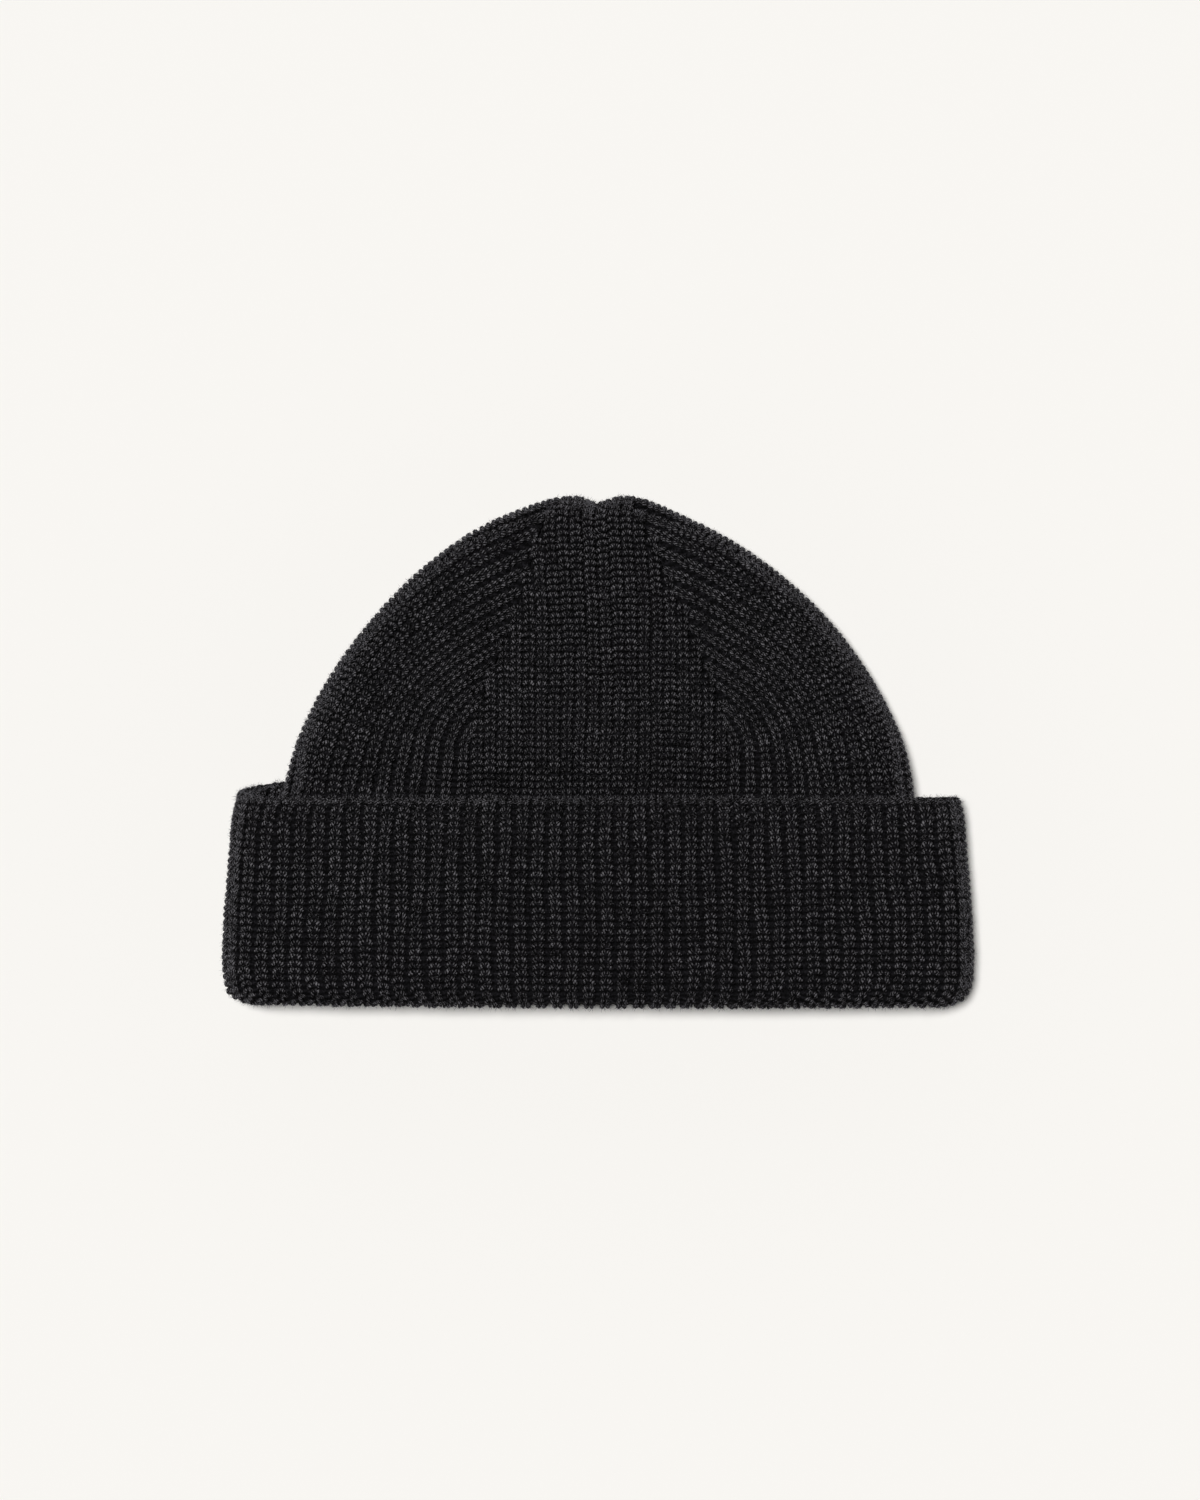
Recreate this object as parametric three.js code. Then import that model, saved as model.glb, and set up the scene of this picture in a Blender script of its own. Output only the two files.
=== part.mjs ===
// A fisherman beanie of 1 x 1 rib knit, lying on its back on a table with its cuff turned up.
// The crown is one knitted tube, shaped at the top into four gores: a front and a back one that
// stay blunt, and two side ones that taper to a point. The cuff is the same knit, turned up
// round a soft fold at the mouth, with a short leg that returns inside.
// Millimetres. X runs across the hat, Y from the folded edge to the tip, Z up from the table.
import * as THREE from "three";

// The knit
const WALL = 3.2; // one layer, ridge to ridge
const RIB_DEPTH = 1.1; // how far the grooves lie below the ridges
const LAYER_GAP = 0.8; // air between two layers that lie on each other
const FRONT_RIBS = 20; // ribs across the front gore, and across the back one
const SIDE_RIBS = 26; // ribs across each side gore

// The hat as it lies
const HAT_LENGTH = 156.4; // folded edge to top
const PUFF = 0.15; // share by which the middle stands higher than the sides
const FOLD_BOW = 1.3; // how far the folded edge bows out
const FOLD_BOW_CENTRE = 36; // where along X it bows most

// The cuff
const CUFF_HEIGHT = 63; // folded edge to rim
const CUFF_WIDTH = 230; // across its widest level
const CUFF_THICKNESS = 24.5; // table to its upper face, at the sides
const INNER_LEG = 12; // length of the leg that returns inside the mouth
const RIM_ROUND = 0.9; // rounding of the rim's edges
const RIM_LIFT = 5.4; // how much higher the rim lies at the back, on the left
const RIM_LIFT_RIB = 73; // the rib number where it lies highest
const RIM_LIFT_RIBS = 10; // and how many ribs the rise takes
const CUFF_SECTIONS = [
  // down: share of the way from rim to folded edge; half: half width, share of half CUFF_WIDTH
  { down: 0.0, half: 0.961 },
  { down: 0.07, half: 0.972 },
  { down: 0.3, half: 0.983 },
  { down: 0.55, half: 0.995 },
  { down: 0.76, half: 1.0 },
  { down: 0.88, half: 0.996 },
  { down: 0.95, half: 0.98 },
  { down: 1.0, half: 0.94 },
];

// The crown
const CROWN_WIDTH = 199.5; // across its widest level, hidden inside the cuff
const WIDEST_BELOW_RIM = 13.8; // how far below the rim that level lies
const OUTLINE_POWER = 1.74; // 2 would make the outline an ellipse, and less is more pointed
const GORE_WIDTH = 78; // front gore, line to line, below the shaping
const GORE_TIP_WIDTH = 22; // front gore where it rolls over the top
const SEAM_REACH = 1.1; // how far the outline's arch, without the dip, would reach past the top
const SHAPING_LENGTH = 67; // start of the shaping to the tip
const SHAPING_SOFTNESS = 0.15; // share of that length over which the ribs bend into the shaping
const SHOULDER_RISE = 0.9; // how far the ends of the shaping lines stand out of the arch
const SHOULDER_SPREAD = 7; // half width of each of these shoulders
const SEAM_DIP = 2.4; // how far the closing seam draws the top in
const SEAM_DIP_SPREAD = 4.5; // half width of that dip
const SEAM_SINK = 0.9; // how far the seam lies below the edges beside it
const CROWN_PROFILE = [
  // along: share of the way from rim to tip; lift: underside above the table, share of one layer
  // that the cuff lifts it; thick: thickness, share of the thickness inside the cuff; lean: how
  // far the crown leans to the right, in mm
  { along: 0.0, lift: 1.0, thick: 1.0, lean: 0.0 },
  { along: 0.07, lift: 1.0, thick: 1.04, lean: 0.3 },
  { along: 0.18, lift: 0.5, thick: 1.08, lean: 0.5 },
  { along: 0.3, lift: 0.1, thick: 1.1, lean: 0.6 },
  { along: 0.42, lift: 0.0, thick: 1.09, lean: 0.6 },
  { along: 0.6, lift: 0.0, thick: 1.05, lean: 0.5 },
  { along: 0.8, lift: 0.0, thick: 0.95, lean: -0.6 },
  { along: 0.92, lift: 0.0, thick: 0.84, lean: -1.2 },
  { along: 1.0, lift: 0.0, thick: 0.74, lean: 0.6 },
];

// Where the mesh has its rings, as shares of the way from rim to join, to tip and to fold
const BODY_RINGS = [0.45, 1];
const CROWN_RINGS = [0, 0.1, 0.2, 0.3, 0.38, 0.46, 0.54, 0.62, 0.7, 0.78, 0.86, 0.92, 0.97];
const CUFF_RINGS = [0.08, 0.4, 0.78];
const FOLD_STEPS = 5; // facets round the fold
const NARROWEST_RIB = 0.3; // share of a column's width below which a shaping line ends it

// Sizes that follow from those above
const LAYER = WALL + LAYER_GAP;
const FOLD_Y = FOLD_BOW - HAT_LENGTH / 2;
const TIP_Y = HAT_LENGTH / 2 + SEAM_REACH;
const RIM_Y = FOLD_Y + CUFF_HEIGHT;
const WIDEST_Y = RIM_Y - WIDEST_BELOW_RIM;
const CROWN_RISE = TIP_Y - WIDEST_Y;
const FOLD_RADIUS = WALL + LAYER_GAP / 2;
const BEND_Y = FOLD_Y + FOLD_RADIUS; // where the fold's round starts
const JOIN_Y = BEND_Y + INNER_LEG + LAYER_GAP; // lower end of the crown's wall
const CUFF_RADIUS = CUFF_THICKNESS / 2;
const BODY_THICKNESS = CUFF_THICKNESS - 2 * LAYER; // of the crown inside the cuff
const RIBS = 2 * (FRONT_RIBS + SIDE_RIBS);
const RIB_PITCH = GORE_WIDTH / FRONT_RIBS; // across the front gore
const LINE_SLOPE = (GORE_WIDTH - GORE_TIP_WIDTH) / 2 / SHAPING_LENGTH;
const SHAPING_Y = TIP_Y - SHAPING_LENGTH;

// Every place round the hat has a rib number: 0 is the shaping line between the left side gore
// and the front gore, and it grows to the right over the front, then back under the hat.
// Whole numbers are grooves and halves are ridges. A side gore runs round the hat's edge: where
// its ribs are counted from its middle, underSide is the sign of those that lie below the edge.
const GORES = [
  { name: "front", middle: FRONT_RIBS / 2, ribs: FRONT_RIBS, underSide: 0 },
  { name: "right", middle: FRONT_RIBS + SIDE_RIBS / 2, ribs: SIDE_RIBS, underSide: 1 },
  { name: "back", middle: FRONT_RIBS * 1.5 + SIDE_RIBS, ribs: FRONT_RIBS, underSide: 0 },
  { name: "left", middle: FRONT_RIBS * 2 + SIDE_RIBS * 1.5, ribs: SIDE_RIBS, underSide: -1 },
];

const { clamp, lerp, smoothstep } = THREE.MathUtils;

// Zero for negative values and the value itself for positive ones, with a soft bend between.
function softRamp(value, softness) {
  if (Math.abs(value) >= softness) return Math.max(0, value);
  return (value + softness) ** 2 / (4 * softness);
}

// A smooth curve through one column of a table.
function column(table, at, value) {
  const curve = new THREE.CubicInterpolant(
    table.map((row) => row[at]),
    table.map((row) => row[value]),
    1,
    [0],
  );
  return (share) => curve.evaluate(clamp(share, 0, 1))[0];
}

const cuffHalfShare = column(CUFF_SECTIONS, "down", "half");
const crownLiftShare = column(CROWN_PROFILE, "along", "lift");
const crownThickShare = column(CROWN_PROFILE, "along", "thick");
const crownLean = column(CROWN_PROFILE, "along", "lean");

function cuffHalfWidth(y) {
  return (cuffHalfShare((RIM_Y - y) / CUFF_HEIGHT) * CUFF_WIDTH) / 2;
}

// The crown's outline is a rounded arch, with a dip where its top is closed and two shoulders.
function archHeight(x, inset) {
  const half = CROWN_WIDTH / 2 - inset;
  const share = clamp(Math.abs(x) / half, 0, 1);
  const arch = (1 - share ** OUTLINE_POWER) ** (1 / OUTLINE_POWER);
  const shoulderX = GORE_TIP_WIDTH / 2 + SEAM_DIP_SPREAD;
  const shoulder = Math.exp(-(((Math.abs(x) - shoulderX) / SHOULDER_SPREAD) ** 2));
  const dip = Math.exp(-((x / SEAM_DIP_SPREAD) ** 2));
  return (CROWN_RISE - inset) * arch + SHOULDER_RISE * shoulder - SEAM_DIP * dip;
}

function topY(x, inset) {
  return WIDEST_Y + archHeight(x, inset);
}

function archHalfWidth(y, inset) {
  const up = clamp((y - WIDEST_Y) / (CROWN_RISE - inset), 0, 1);
  return (CROWN_WIDTH / 2 - inset) * (1 - up ** OUTLINE_POWER) ** (1 / OUTLINE_POWER);
}

// Below the rim the crown's wall widens until it lies against the cuff at the join.
function bodyHalfWidth(y, inset) {
  const atJoin = cuffHalfWidth(JOIN_Y) - LAYER - inset;
  return lerp(atJoin, archHalfWidth(RIM_Y, inset), smoothstep(y, JOIN_Y, RIM_Y));
}

// The outline's right half, from the rim to the end of the closing seam.
class CrownOutline extends THREE.Curve {
  constructor(inset) {
    super();
    this.inset = inset;
  }

  getPoint(t) {
    const power = 2 / OUTLINE_POWER;
    const half = CROWN_WIDTH / 2 - this.inset;
    const rise = CROWN_RISE - this.inset;
    const start = Math.asin(((RIM_Y - WIDEST_Y) / rise) ** (1 / power));
    const end = Math.acos((GORE_TIP_WIDTH / 2 / half) ** (1 / power));
    const x = half * Math.cos(lerp(start, end, t)) ** power;
    return new THREE.Vector3(x, topY(x, this.inset), 0);
  }
}

// How far a point in the plan lies inside the outline.
function depthInside(x, y, inset) {
  if (y <= RIM_Y) return bodyHalfWidth(y, inset) - Math.abs(x);
  const half = CROWN_WIDTH / 2 - inset;
  const across = Math.max(Math.abs(x) / half, 1e-6);
  const rise = archHeight(x, inset) / (1 - clamp(across, 0, 1) ** OUTLINE_POWER) ** (1 / OUTLINE_POWER);
  const up = Math.max(y - WIDEST_Y, 1e-6) / rise;
  const norm = (across ** OUTLINE_POWER + up ** OUTLINE_POWER) ** (1 / OUTLINE_POWER);
  const slope = norm ** (1 - OUTLINE_POWER);
  const gradient = Math.hypot(
    (slope * across ** (OUTLINE_POWER - 1)) / half,
    (slope * up ** (OUTLINE_POWER - 1)) / rise,
  );
  return (1 - norm) / gradient;
}

// The crown's underside and half thickness at a level.
function crownUnderside(y) {
  return Math.max(0, crownLiftShare((y - RIM_Y) / (TIP_Y - RIM_Y))) * LAYER;
}

function crownRadius(y) {
  return (crownThickShare((y - RIM_Y) / (TIP_Y - RIM_Y)) * BODY_THICKNESS) / 2;
}

// Length along the surface from the outline to a place that lies `flat` inside it in the plan,
// where the surface first rounds over with a radius and then runs flat, and the reverse.
function unrolled(flat, radius) {
  if (flat >= radius) return flat + (Math.PI / 2 - 1) * radius;
  return radius * Math.acos(1 - flat / radius);
}

function rolled(length, radius) {
  const round = (Math.PI / 2) * radius;
  return length >= round ? length - round + radius : radius * (1 - Math.cos(length / radius));
}

// One level of the crown's wall. Its places in the plan are given by the outline point, the
// shaping line's point, the ribs left in half a side gore and the pitch across the front gore.
function crownLevelBelowRim(y, inset) {
  const half = bodyHalfWidth(y, inset);
  const line = ((GORE_WIDTH / 2) * bodyHalfWidth(y, 0)) / archHalfWidth(RIM_Y, 0);
  return {
    inset,
    radius: crownRadius(y) - inset,
    outline: new THREE.Vector2(half, y),
    line: new THREE.Vector2(line, y),
    sideRibs: SIDE_RIBS / 2,
    pitch: (2 * line) / FRONT_RIBS,
    gorePlace: (x) => new THREE.Vector2(x, y),
  };
}

const outlines = new Map();

function crownLevelAboveRim(share, inset) {
  if (!outlines.has(inset)) outlines.set(inset, new CrownOutline(inset));
  const tipRadius = crownRadius(TIP_Y) - inset;
  const tipY = topY(0, inset);
  const y = tipY - rolled((1 - share) * unrolled(tipY - RIM_Y, tipRadius), tipRadius);
  const gorePlace = (x) =>
    new THREE.Vector2(x, RIM_Y + ((y - RIM_Y) * (topY(x, inset) - RIM_Y)) / (tipY - RIM_Y));
  const lineX =
    GORE_WIDTH / 2 - LINE_SLOPE * softRamp(y - SHAPING_Y, SHAPING_SOFTNESS * SHAPING_LENGTH);
  const shapingShare = 1 - unrolled(SHAPING_LENGTH, tipRadius) / unrolled(TIP_Y - RIM_Y, tipRadius);
  const taken = softRamp((share - shapingShare) / (1 - shapingShare), SHAPING_SOFTNESS);
  const outline = outlines.get(inset).getPointAt(share);
  return {
    inset,
    radius: crownRadius(y) - inset,
    outline: new THREE.Vector2(outline.x, outline.y),
    line: gorePlace(lineX),
    sideRibs: (SIDE_RIBS / 2) * (1 - taken),
    pitch: RIB_PITCH,
    gorePlace,
  };
}

// The place in the plan of a rib number in one gore of a level: `off` ribs from its middle.
function crownPlace(level, gore, off) {
  if (gore.name === "front") return level.gorePlace(off * level.pitch);
  if (gore.name === "back") return level.gorePlace(-off * level.pitch);
  const span = level.outline.distanceTo(level.line);
  const along = (Math.abs(off) / level.sideRibs) * unrolled(span, level.radius);
  const place = level.outline.clone();
  if (span > 0) place.lerp(level.line, Math.min(1, rolled(along, level.radius) / span));
  if (gore.name === "left") place.x *= -1;
  return place;
}

function crownPoint(place, under, inset) {
  const radius = crownRadius(place.y) - inset;
  const inside = clamp(depthInside(place.x, place.y, inset) / radius, 0, 1);
  const height = radius * Math.sqrt(1 - (1 - inside) ** 2);
  const middle = crownUnderside(place.y) + crownRadius(place.y);
  return new THREE.Vector3(place.x, place.y, under ? middle - height : middle + height);
}

// The ring of points round one level. Grooves take their place from the wall inset by the
// rib's depth. Where the hat rests on the table its ribs are pressed flat.
function crownRing(levelAt, where, inset, ribbed) {
  const ridgeLevel = levelAt(where, inset);
  const step = ribbed ? 0.5 : 1;
  const ring = [];
  const add = (gore, off, key) => {
    const under = gore.name === "back" || off * gore.underSide > 0;
    const ridge = crownPlace(ridgeLevel, gore, off);
    if (!ribbed || !Number.isInteger(key)) {
      ring.push({ key, point: crownPoint(ridge, under, inset) });
      return;
    }
    const fromEdge = depthInside(ridge.x, ridge.y, inset);
    const onTable = under ? smoothstep(fromEdge, 0, crownRadius(ridge.y)) : 0;
    const groove = inset + RIB_DEPTH * (1 - onTable);
    const place = crownPlace(levelAt(where, groove), gore, off);
    ring.push({ key, point: crownPoint(place, under, groove) });
  };
  for (const gore of GORES) {
    const half = gore.underSide ? ridgeLevel.sideRibs : ridgeLevel.line.x / ridgeLevel.pitch;
    // The shaping line that starts the gore, then the ribs that are left inside it
    add(gore, -half, gore.middle - gore.ribs / 2);
    for (let off = -gore.ribs / 2 + step; off < gore.ribs / 2; off += step) {
      if (Math.abs(off) < half - NARROWEST_RIB * step) add(gore, off, gore.middle + off);
    }
  }
  return ring;
}

// A point of the cuff at a rib number: a level section is two flat runs joined by half rounds.
function cuffPoint(key, y, inset) {
  const radius = CUFF_RADIUS - inset;
  const flat = cuffHalfWidth(y) - CUFF_RADIUS;
  const around = 4 * flat + 2 * Math.PI * radius;
  const share = THREE.MathUtils.euclideanModulo((key - FRONT_RIBS / 2) / RIBS + 0.5, 1) - 0.5;
  const along = Math.abs(share) * around;
  const side = Math.sign(share);
  const turn = clamp((along - flat) / radius, 0, Math.PI);
  const beyond = Math.max(0, along - flat - Math.PI * radius);
  const x = along < flat ? along : flat - beyond + radius * Math.sin(turn);
  return new THREE.Vector3(side * x, y, CUFF_RADIUS + radius * Math.cos(turn));
}

// The rim lies higher at the back on the left, where it shows beside the front.
function rimY(key) {
  const away = clamp(Math.abs(key - RIM_LIFT_RIB) / RIM_LIFT_RIBS, 0, 1);
  return RIM_Y + RIM_LIFT * Math.cos((away * Math.PI) / 2) ** 2;
}

// The ring of points round the cuff at one place of its section: `down` is the share of the way
// from the rim to the fold, `rise` a height above that, and `inset` the depth inside the outer
// face. A ribbed face states how far the fabric has turned there: 0 on the outer face, PI on the
// leg inside, and between them round the fold. Its grooves lie below it, at right angles to it.
function cuffRing(down, rise, inset, turn) {
  const ribbed = turn !== undefined;
  const ring = [];
  for (let key = 0; key < RIBS; key += ribbed ? 0.5 : 1) {
    const y = lerp(rimY(key), BEND_Y, down) + rise;
    const ridge = cuffPoint(key, y, inset);
    if (!ribbed || !Number.isInteger(key)) {
      ring.push({ key, point: ridge });
      continue;
    }
    const fromSide = cuffHalfWidth(y) - Math.abs(ridge.x);
    const onTable = ridge.z < CUFF_RADIUS ? smoothstep(fromSide, 0, CUFF_RADIUS) : 0;
    const depth = RIB_DEPTH * (1 - onTable * Math.max(0, Math.cos(turn)));
    const grooveY = y + depth * Math.sin(turn);
    ring.push({ key, point: cuffPoint(key, grooveY, inset + depth * Math.cos(turn)) });
  }
  return ring;
}

// How the whole hat lies: its middle stands a little higher, its folded edge bows out and its
// crown leans a little.
function lie(point) {
  const across = (2 * point.x) / CUFF_WIDTH;
  const towardsFold = clamp((RIM_Y - point.y) / CUFF_HEIGHT, 0, 1);
  const fromBow = (point.x - FOLD_BOW_CENTRE) / CUFF_WIDTH;
  point.y -= FOLD_BOW * towardsFold * (1 - 2 * fromBow ** 2);
  point.z *= 1 + PUFF * (1 - across ** 2);
  point.x += crownLean((point.y - RIM_Y) / (TIP_Y - RIM_Y));
  return point;
}

// Joins two rings by walking round both, always on to the nearer rib number.
function zip(lower, upper, triangles) {
  let i = 0;
  let j = 0;
  const keyAt = (ring, n) => (n < ring.length ? ring[n].key : RIBS);
  while (i < lower.length || j < upper.length) {
    const a = lower[i % lower.length].index;
    const b = upper[j % upper.length].index;
    const lowerIsNext = keyAt(lower, i + 1) <= keyAt(upper, j + 1);
    if (j >= upper.length || (i < lower.length && lowerIsNext)) {
      i += 1;
      triangles.push(a, b, lower[i % lower.length].index);
    } else {
      j += 1;
      triangles.push(a, b, upper[j % upper.length].index);
    }
  }
}

// A closed skin over rings in order. The first and last ring are joined too, or each is
// closed by a fan to its own centre point.
function skin(rings, centres) {
  const positions = [];
  const triangles = [];
  const place = (point) => {
    positions.push(...lie(point.clone()).toArray());
    return positions.length / 3 - 1;
  };
  for (const ring of rings) for (const vertex of ring) vertex.index = place(vertex.point);
  for (let n = 0; n + 1 < rings.length; n += 1) zip(rings[n], rings[n + 1], triangles);
  if (centres) {
    zip([{ key: 0, index: place(centres[0]) }], rings[0], triangles);
    zip(rings.at(-1), [{ key: 0, index: place(centres[1]) }], triangles);
  } else {
    zip(rings.at(-1), rings[0], triangles);
  }
  // A fan's own steps along its one centre point collapse, and are left out
  const faces = [];
  for (let n = 0; n < triangles.length; n += 3) {
    const [a, b, c] = triangles.slice(n, n + 3);
    if (a !== b && b !== c && a !== c) faces.push(a, b, c);
  }
  const geometry = new THREE.BufferGeometry();
  geometry.setAttribute("position", new THREE.Float32BufferAttribute(positions, 3));
  geometry.setIndex(faces);
  geometry.computeVertexNormals();
  return geometry;
}

// The crown: its outer face from the closing seam down to the join, then its inner face back up.
function crownGeometry() {
  const belowRim = BODY_RINGS.map((share) => lerp(RIM_Y, JOIN_Y, share));
  const outer = [
    ...CROWN_RINGS.toReversed().map((share) => crownRing(crownLevelAboveRim, share, 0, true)),
    ...belowRim.map((y) => crownRing(crownLevelBelowRim, y, 0, true)),
  ];
  const inner = [
    ...belowRim.toReversed().map((y) => crownRing(crownLevelBelowRim, y, WALL, false)),
    ...CROWN_RINGS.map((share) => crownRing(crownLevelAboveRim, share, WALL, false)),
  ];
  const seamMiddle = (inset) =>
    new THREE.Vector3(0, topY(0, inset) - SEAM_SINK, crownUnderside(TIP_Y) + crownRadius(TIP_Y));
  return skin([...outer, ...inner], [seamMiddle(0), seamMiddle(WALL)]);
}

// The cuff: its outer face from rim to fold, round the fold, up and down the inner leg, and up
// the hidden face back to the rim.
function cuffGeometry() {
  const fold = [];
  for (let n = 0; n <= FOLD_STEPS; n += 1) {
    const turn = (n / FOLD_STEPS) * Math.PI;
    fold.push(cuffRing(1, -FOLD_RADIUS * Math.sin(turn), FOLD_RADIUS * (1 - Math.cos(turn)), turn));
  }
  return skin([
    cuffRing(0, 0, RIM_ROUND, 0),
    cuffRing(0, -RIM_ROUND, 0, 0),
    ...CUFF_RINGS.map((share) => cuffRing(share, 0, 0, 0)),
    ...fold,
    cuffRing(1, INNER_LEG, LAYER + WALL, Math.PI),
    cuffRing(1, INNER_LEG, LAYER),
    cuffRing(1, 0, LAYER),
    cuffRing(1, 0, WALL),
    ...CUFF_RINGS.toReversed().map((share) => cuffRing(share, 0, WALL)),
    cuffRing(0, -RIM_ROUND, WALL),
    cuffRing(0, 0, WALL - RIM_ROUND),
  ]);
}

// Black wool, with hardly any gloss
function wool(shade) {
  return new THREE.MeshStandardMaterial({ color: shade, roughness: 0.95, metalness: 0 });
}

function piece(name, geometry, shade) {
  const mesh = new THREE.Mesh(geometry, wool(shade));
  mesh.name = name;
  return mesh;
}

const beanie = new THREE.Group();
beanie.add(piece("crown", crownGeometry(), 0x232426));
beanie.add(piece("cuff", cuffGeometry(), 0x252628));

export default beanie;
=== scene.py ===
# %% [markdown]
# # A fisherman beanie in black rib-knit wool
# The hat lies on its back on a pale table and is seen from straight above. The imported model
# gives its exact size and place: a hollow crown and a turned-up cuff with coarse ribs. This
# script lays the real knit over them: a ribbed fabric with its grooves, a stitch of two yarn
# legs for each loop of wool, and the fine fuzz that stands out of them.

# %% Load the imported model
import math
import random
from functools import partial

import bpy
import numpy as np
from mathutils import Matrix, Vector


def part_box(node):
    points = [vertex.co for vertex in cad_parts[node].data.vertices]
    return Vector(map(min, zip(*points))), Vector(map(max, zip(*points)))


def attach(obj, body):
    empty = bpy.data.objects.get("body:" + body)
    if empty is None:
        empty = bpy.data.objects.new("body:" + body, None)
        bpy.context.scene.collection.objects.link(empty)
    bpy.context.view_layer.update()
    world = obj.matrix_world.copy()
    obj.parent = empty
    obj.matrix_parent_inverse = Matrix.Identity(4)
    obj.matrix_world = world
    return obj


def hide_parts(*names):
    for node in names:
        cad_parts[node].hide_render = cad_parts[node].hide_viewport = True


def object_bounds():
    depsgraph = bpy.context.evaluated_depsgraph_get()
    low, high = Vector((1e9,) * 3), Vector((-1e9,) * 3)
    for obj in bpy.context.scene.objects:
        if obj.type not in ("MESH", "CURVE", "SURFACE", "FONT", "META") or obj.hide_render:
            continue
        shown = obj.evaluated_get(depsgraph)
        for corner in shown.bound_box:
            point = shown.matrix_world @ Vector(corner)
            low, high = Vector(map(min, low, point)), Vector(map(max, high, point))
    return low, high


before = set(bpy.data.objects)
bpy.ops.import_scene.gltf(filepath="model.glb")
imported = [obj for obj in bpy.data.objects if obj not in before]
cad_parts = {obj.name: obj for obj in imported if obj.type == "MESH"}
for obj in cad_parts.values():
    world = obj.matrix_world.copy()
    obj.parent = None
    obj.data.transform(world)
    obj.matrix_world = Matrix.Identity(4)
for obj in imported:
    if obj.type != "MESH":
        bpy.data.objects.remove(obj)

MM = 0.001
SEED = 1961
cad_box = [list(corner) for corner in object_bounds()]
print("the packed model's box in mm:", [[round(v / MM, 1) for v in corner] for corner in cad_box])

# %% [markdown]
# ## Camera
# The photo is taken from straight above, so the camera looks down along -Z with the crown at
# the top of the picture. A long lens from 2 m keeps the sides of the hat from showing.
# The hat's box fills a known share of the picture, which gives the camera's height.

# %% Camera
PICTURE_HEIGHT = 1500
PICTURE_MIDDLE = (600, 750)
HAT_IN_PICTURE = {"left": 222, "right": 974, "middle_y": 752}
LENS = 150
SENSOR = 36

hat_low, hat_high = (Vector(corner) for corner in cad_box)
metres_per_pixel = (hat_high.x - hat_low.x) / (HAT_IN_PICTURE["right"] - HAT_IN_PICTURE["left"])
hat_middle_x = (HAT_IN_PICTURE["left"] + HAT_IN_PICTURE["right"]) / 2
widest_height = (hat_low.z + hat_high.z) / 2
camera_data = bpy.data.cameras.new("camera")
camera_data.lens = LENS
camera_data.sensor_width = SENSOR
camera = bpy.data.objects.new("camera", camera_data)
camera.location = (
    (PICTURE_MIDDLE[0] - hat_middle_x) * metres_per_pixel,
    (HAT_IN_PICTURE["middle_y"] - PICTURE_MIDDLE[1]) * metres_per_pixel,
    widest_height + PICTURE_HEIGHT * metres_per_pixel * LENS / SENSOR,
)
bpy.context.scene.collection.objects.link(camera)
bpy.context.scene.camera = camera
print("camera height in mm:", round(camera.location.z / MM))

# %% [markdown]
# ## Colours and nodes
# Colours are picked as sRGB hex values, as a painter reads them, and a shader works with
# linear light, so one function turns them. Another adds a node with its settings and links,
# which keeps each material short enough to read.

# %% Colours and nodes
def linear(hex_colour):
    channels = [int(hex_colour[n:n + 2], 16) / 255 for n in (1, 3, 5)]
    return [c / 12.92 if c <= 0.04045 else ((c + 0.055) / 1.055) ** 2.4 for c in channels]


def rgba(hex_colour):
    return (*linear(hex_colour), 1)


def add_node(tree, kind, settings=None, **links):
    """Adds a node. A link is a value or another node's output, keyed by the input's name."""
    node = tree.nodes.new(kind)
    for name, value in (settings or {}).items():
        setattr(node, name, value)
    for name, value in links.items():
        key = int(name[1:]) if name[1:].isdigit() else name.replace("_", " ")
        socket = node.inputs[key]
        if isinstance(value, bpy.types.NodeSocket):
            tree.links.new(value, socket)
        else:
            socket.default_value = value
    return node


def new_material(name):
    material = bpy.data.materials.new(name)
    material.use_nodes = True
    material.node_tree.nodes.clear()
    return material, material.node_tree


print("the sRGB grey #808080 in linear light:", round(linear("#808080")[0], 3))

# %% [markdown]
# ## Table and light
# The picture has a warm white table that shows no texture, as bright in its corners as beside
# the hat. The shadow is narrow, soft and falls to the lower right. A lamp near the hat would
# fade towards the corners, so a sun lamp is used: high up, a little to the upper left, and
# with a wide angle that softens the shadow's edge like a big softbox. A weak sky, brightest at
# the horizon, fills the sides as the walls of a light tent do.

# %% Table and light
TABLE_SIZE = 6
TABLE_COLOUR = "#f4f2ee"
SKY_COLOUR = "#ffffff"
SKY_STRENGTH = 0.5
SKY_TOP = 0.55
LAMP_FROM = Vector((-0.13, 0.09, 1.0))
LAMP_ANGLE = math.radians(13)
LAMP_STRENGTH = 3.15

scene = bpy.context.scene
scene.view_settings.view_transform = "Standard"

bpy.ops.object.select_all(action="DESELECT")
bpy.ops.mesh.primitive_plane_add(size=TABLE_SIZE)
table = bpy.context.object
table.name = "table"
paper, tree = new_material("white_table")
surface = add_node(tree, "ShaderNodeBsdfPrincipled", Base_Color=rgba(TABLE_COLOUR), Roughness=0.85)
add_node(tree, "ShaderNodeOutputMaterial", Surface=surface.outputs[0])
table.data.materials.append(paper)

lamp_data = bpy.data.lights.new("softbox", "SUN")
lamp_data.angle = LAMP_ANGLE
lamp_data.energy = LAMP_STRENGTH
lamp = bpy.data.objects.new("softbox", lamp_data)
lamp.location = LAMP_FROM
lamp.rotation_euler = (-LAMP_FROM).to_track_quat("-Z", "Y").to_euler()
scene.collection.objects.link(lamp)

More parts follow.
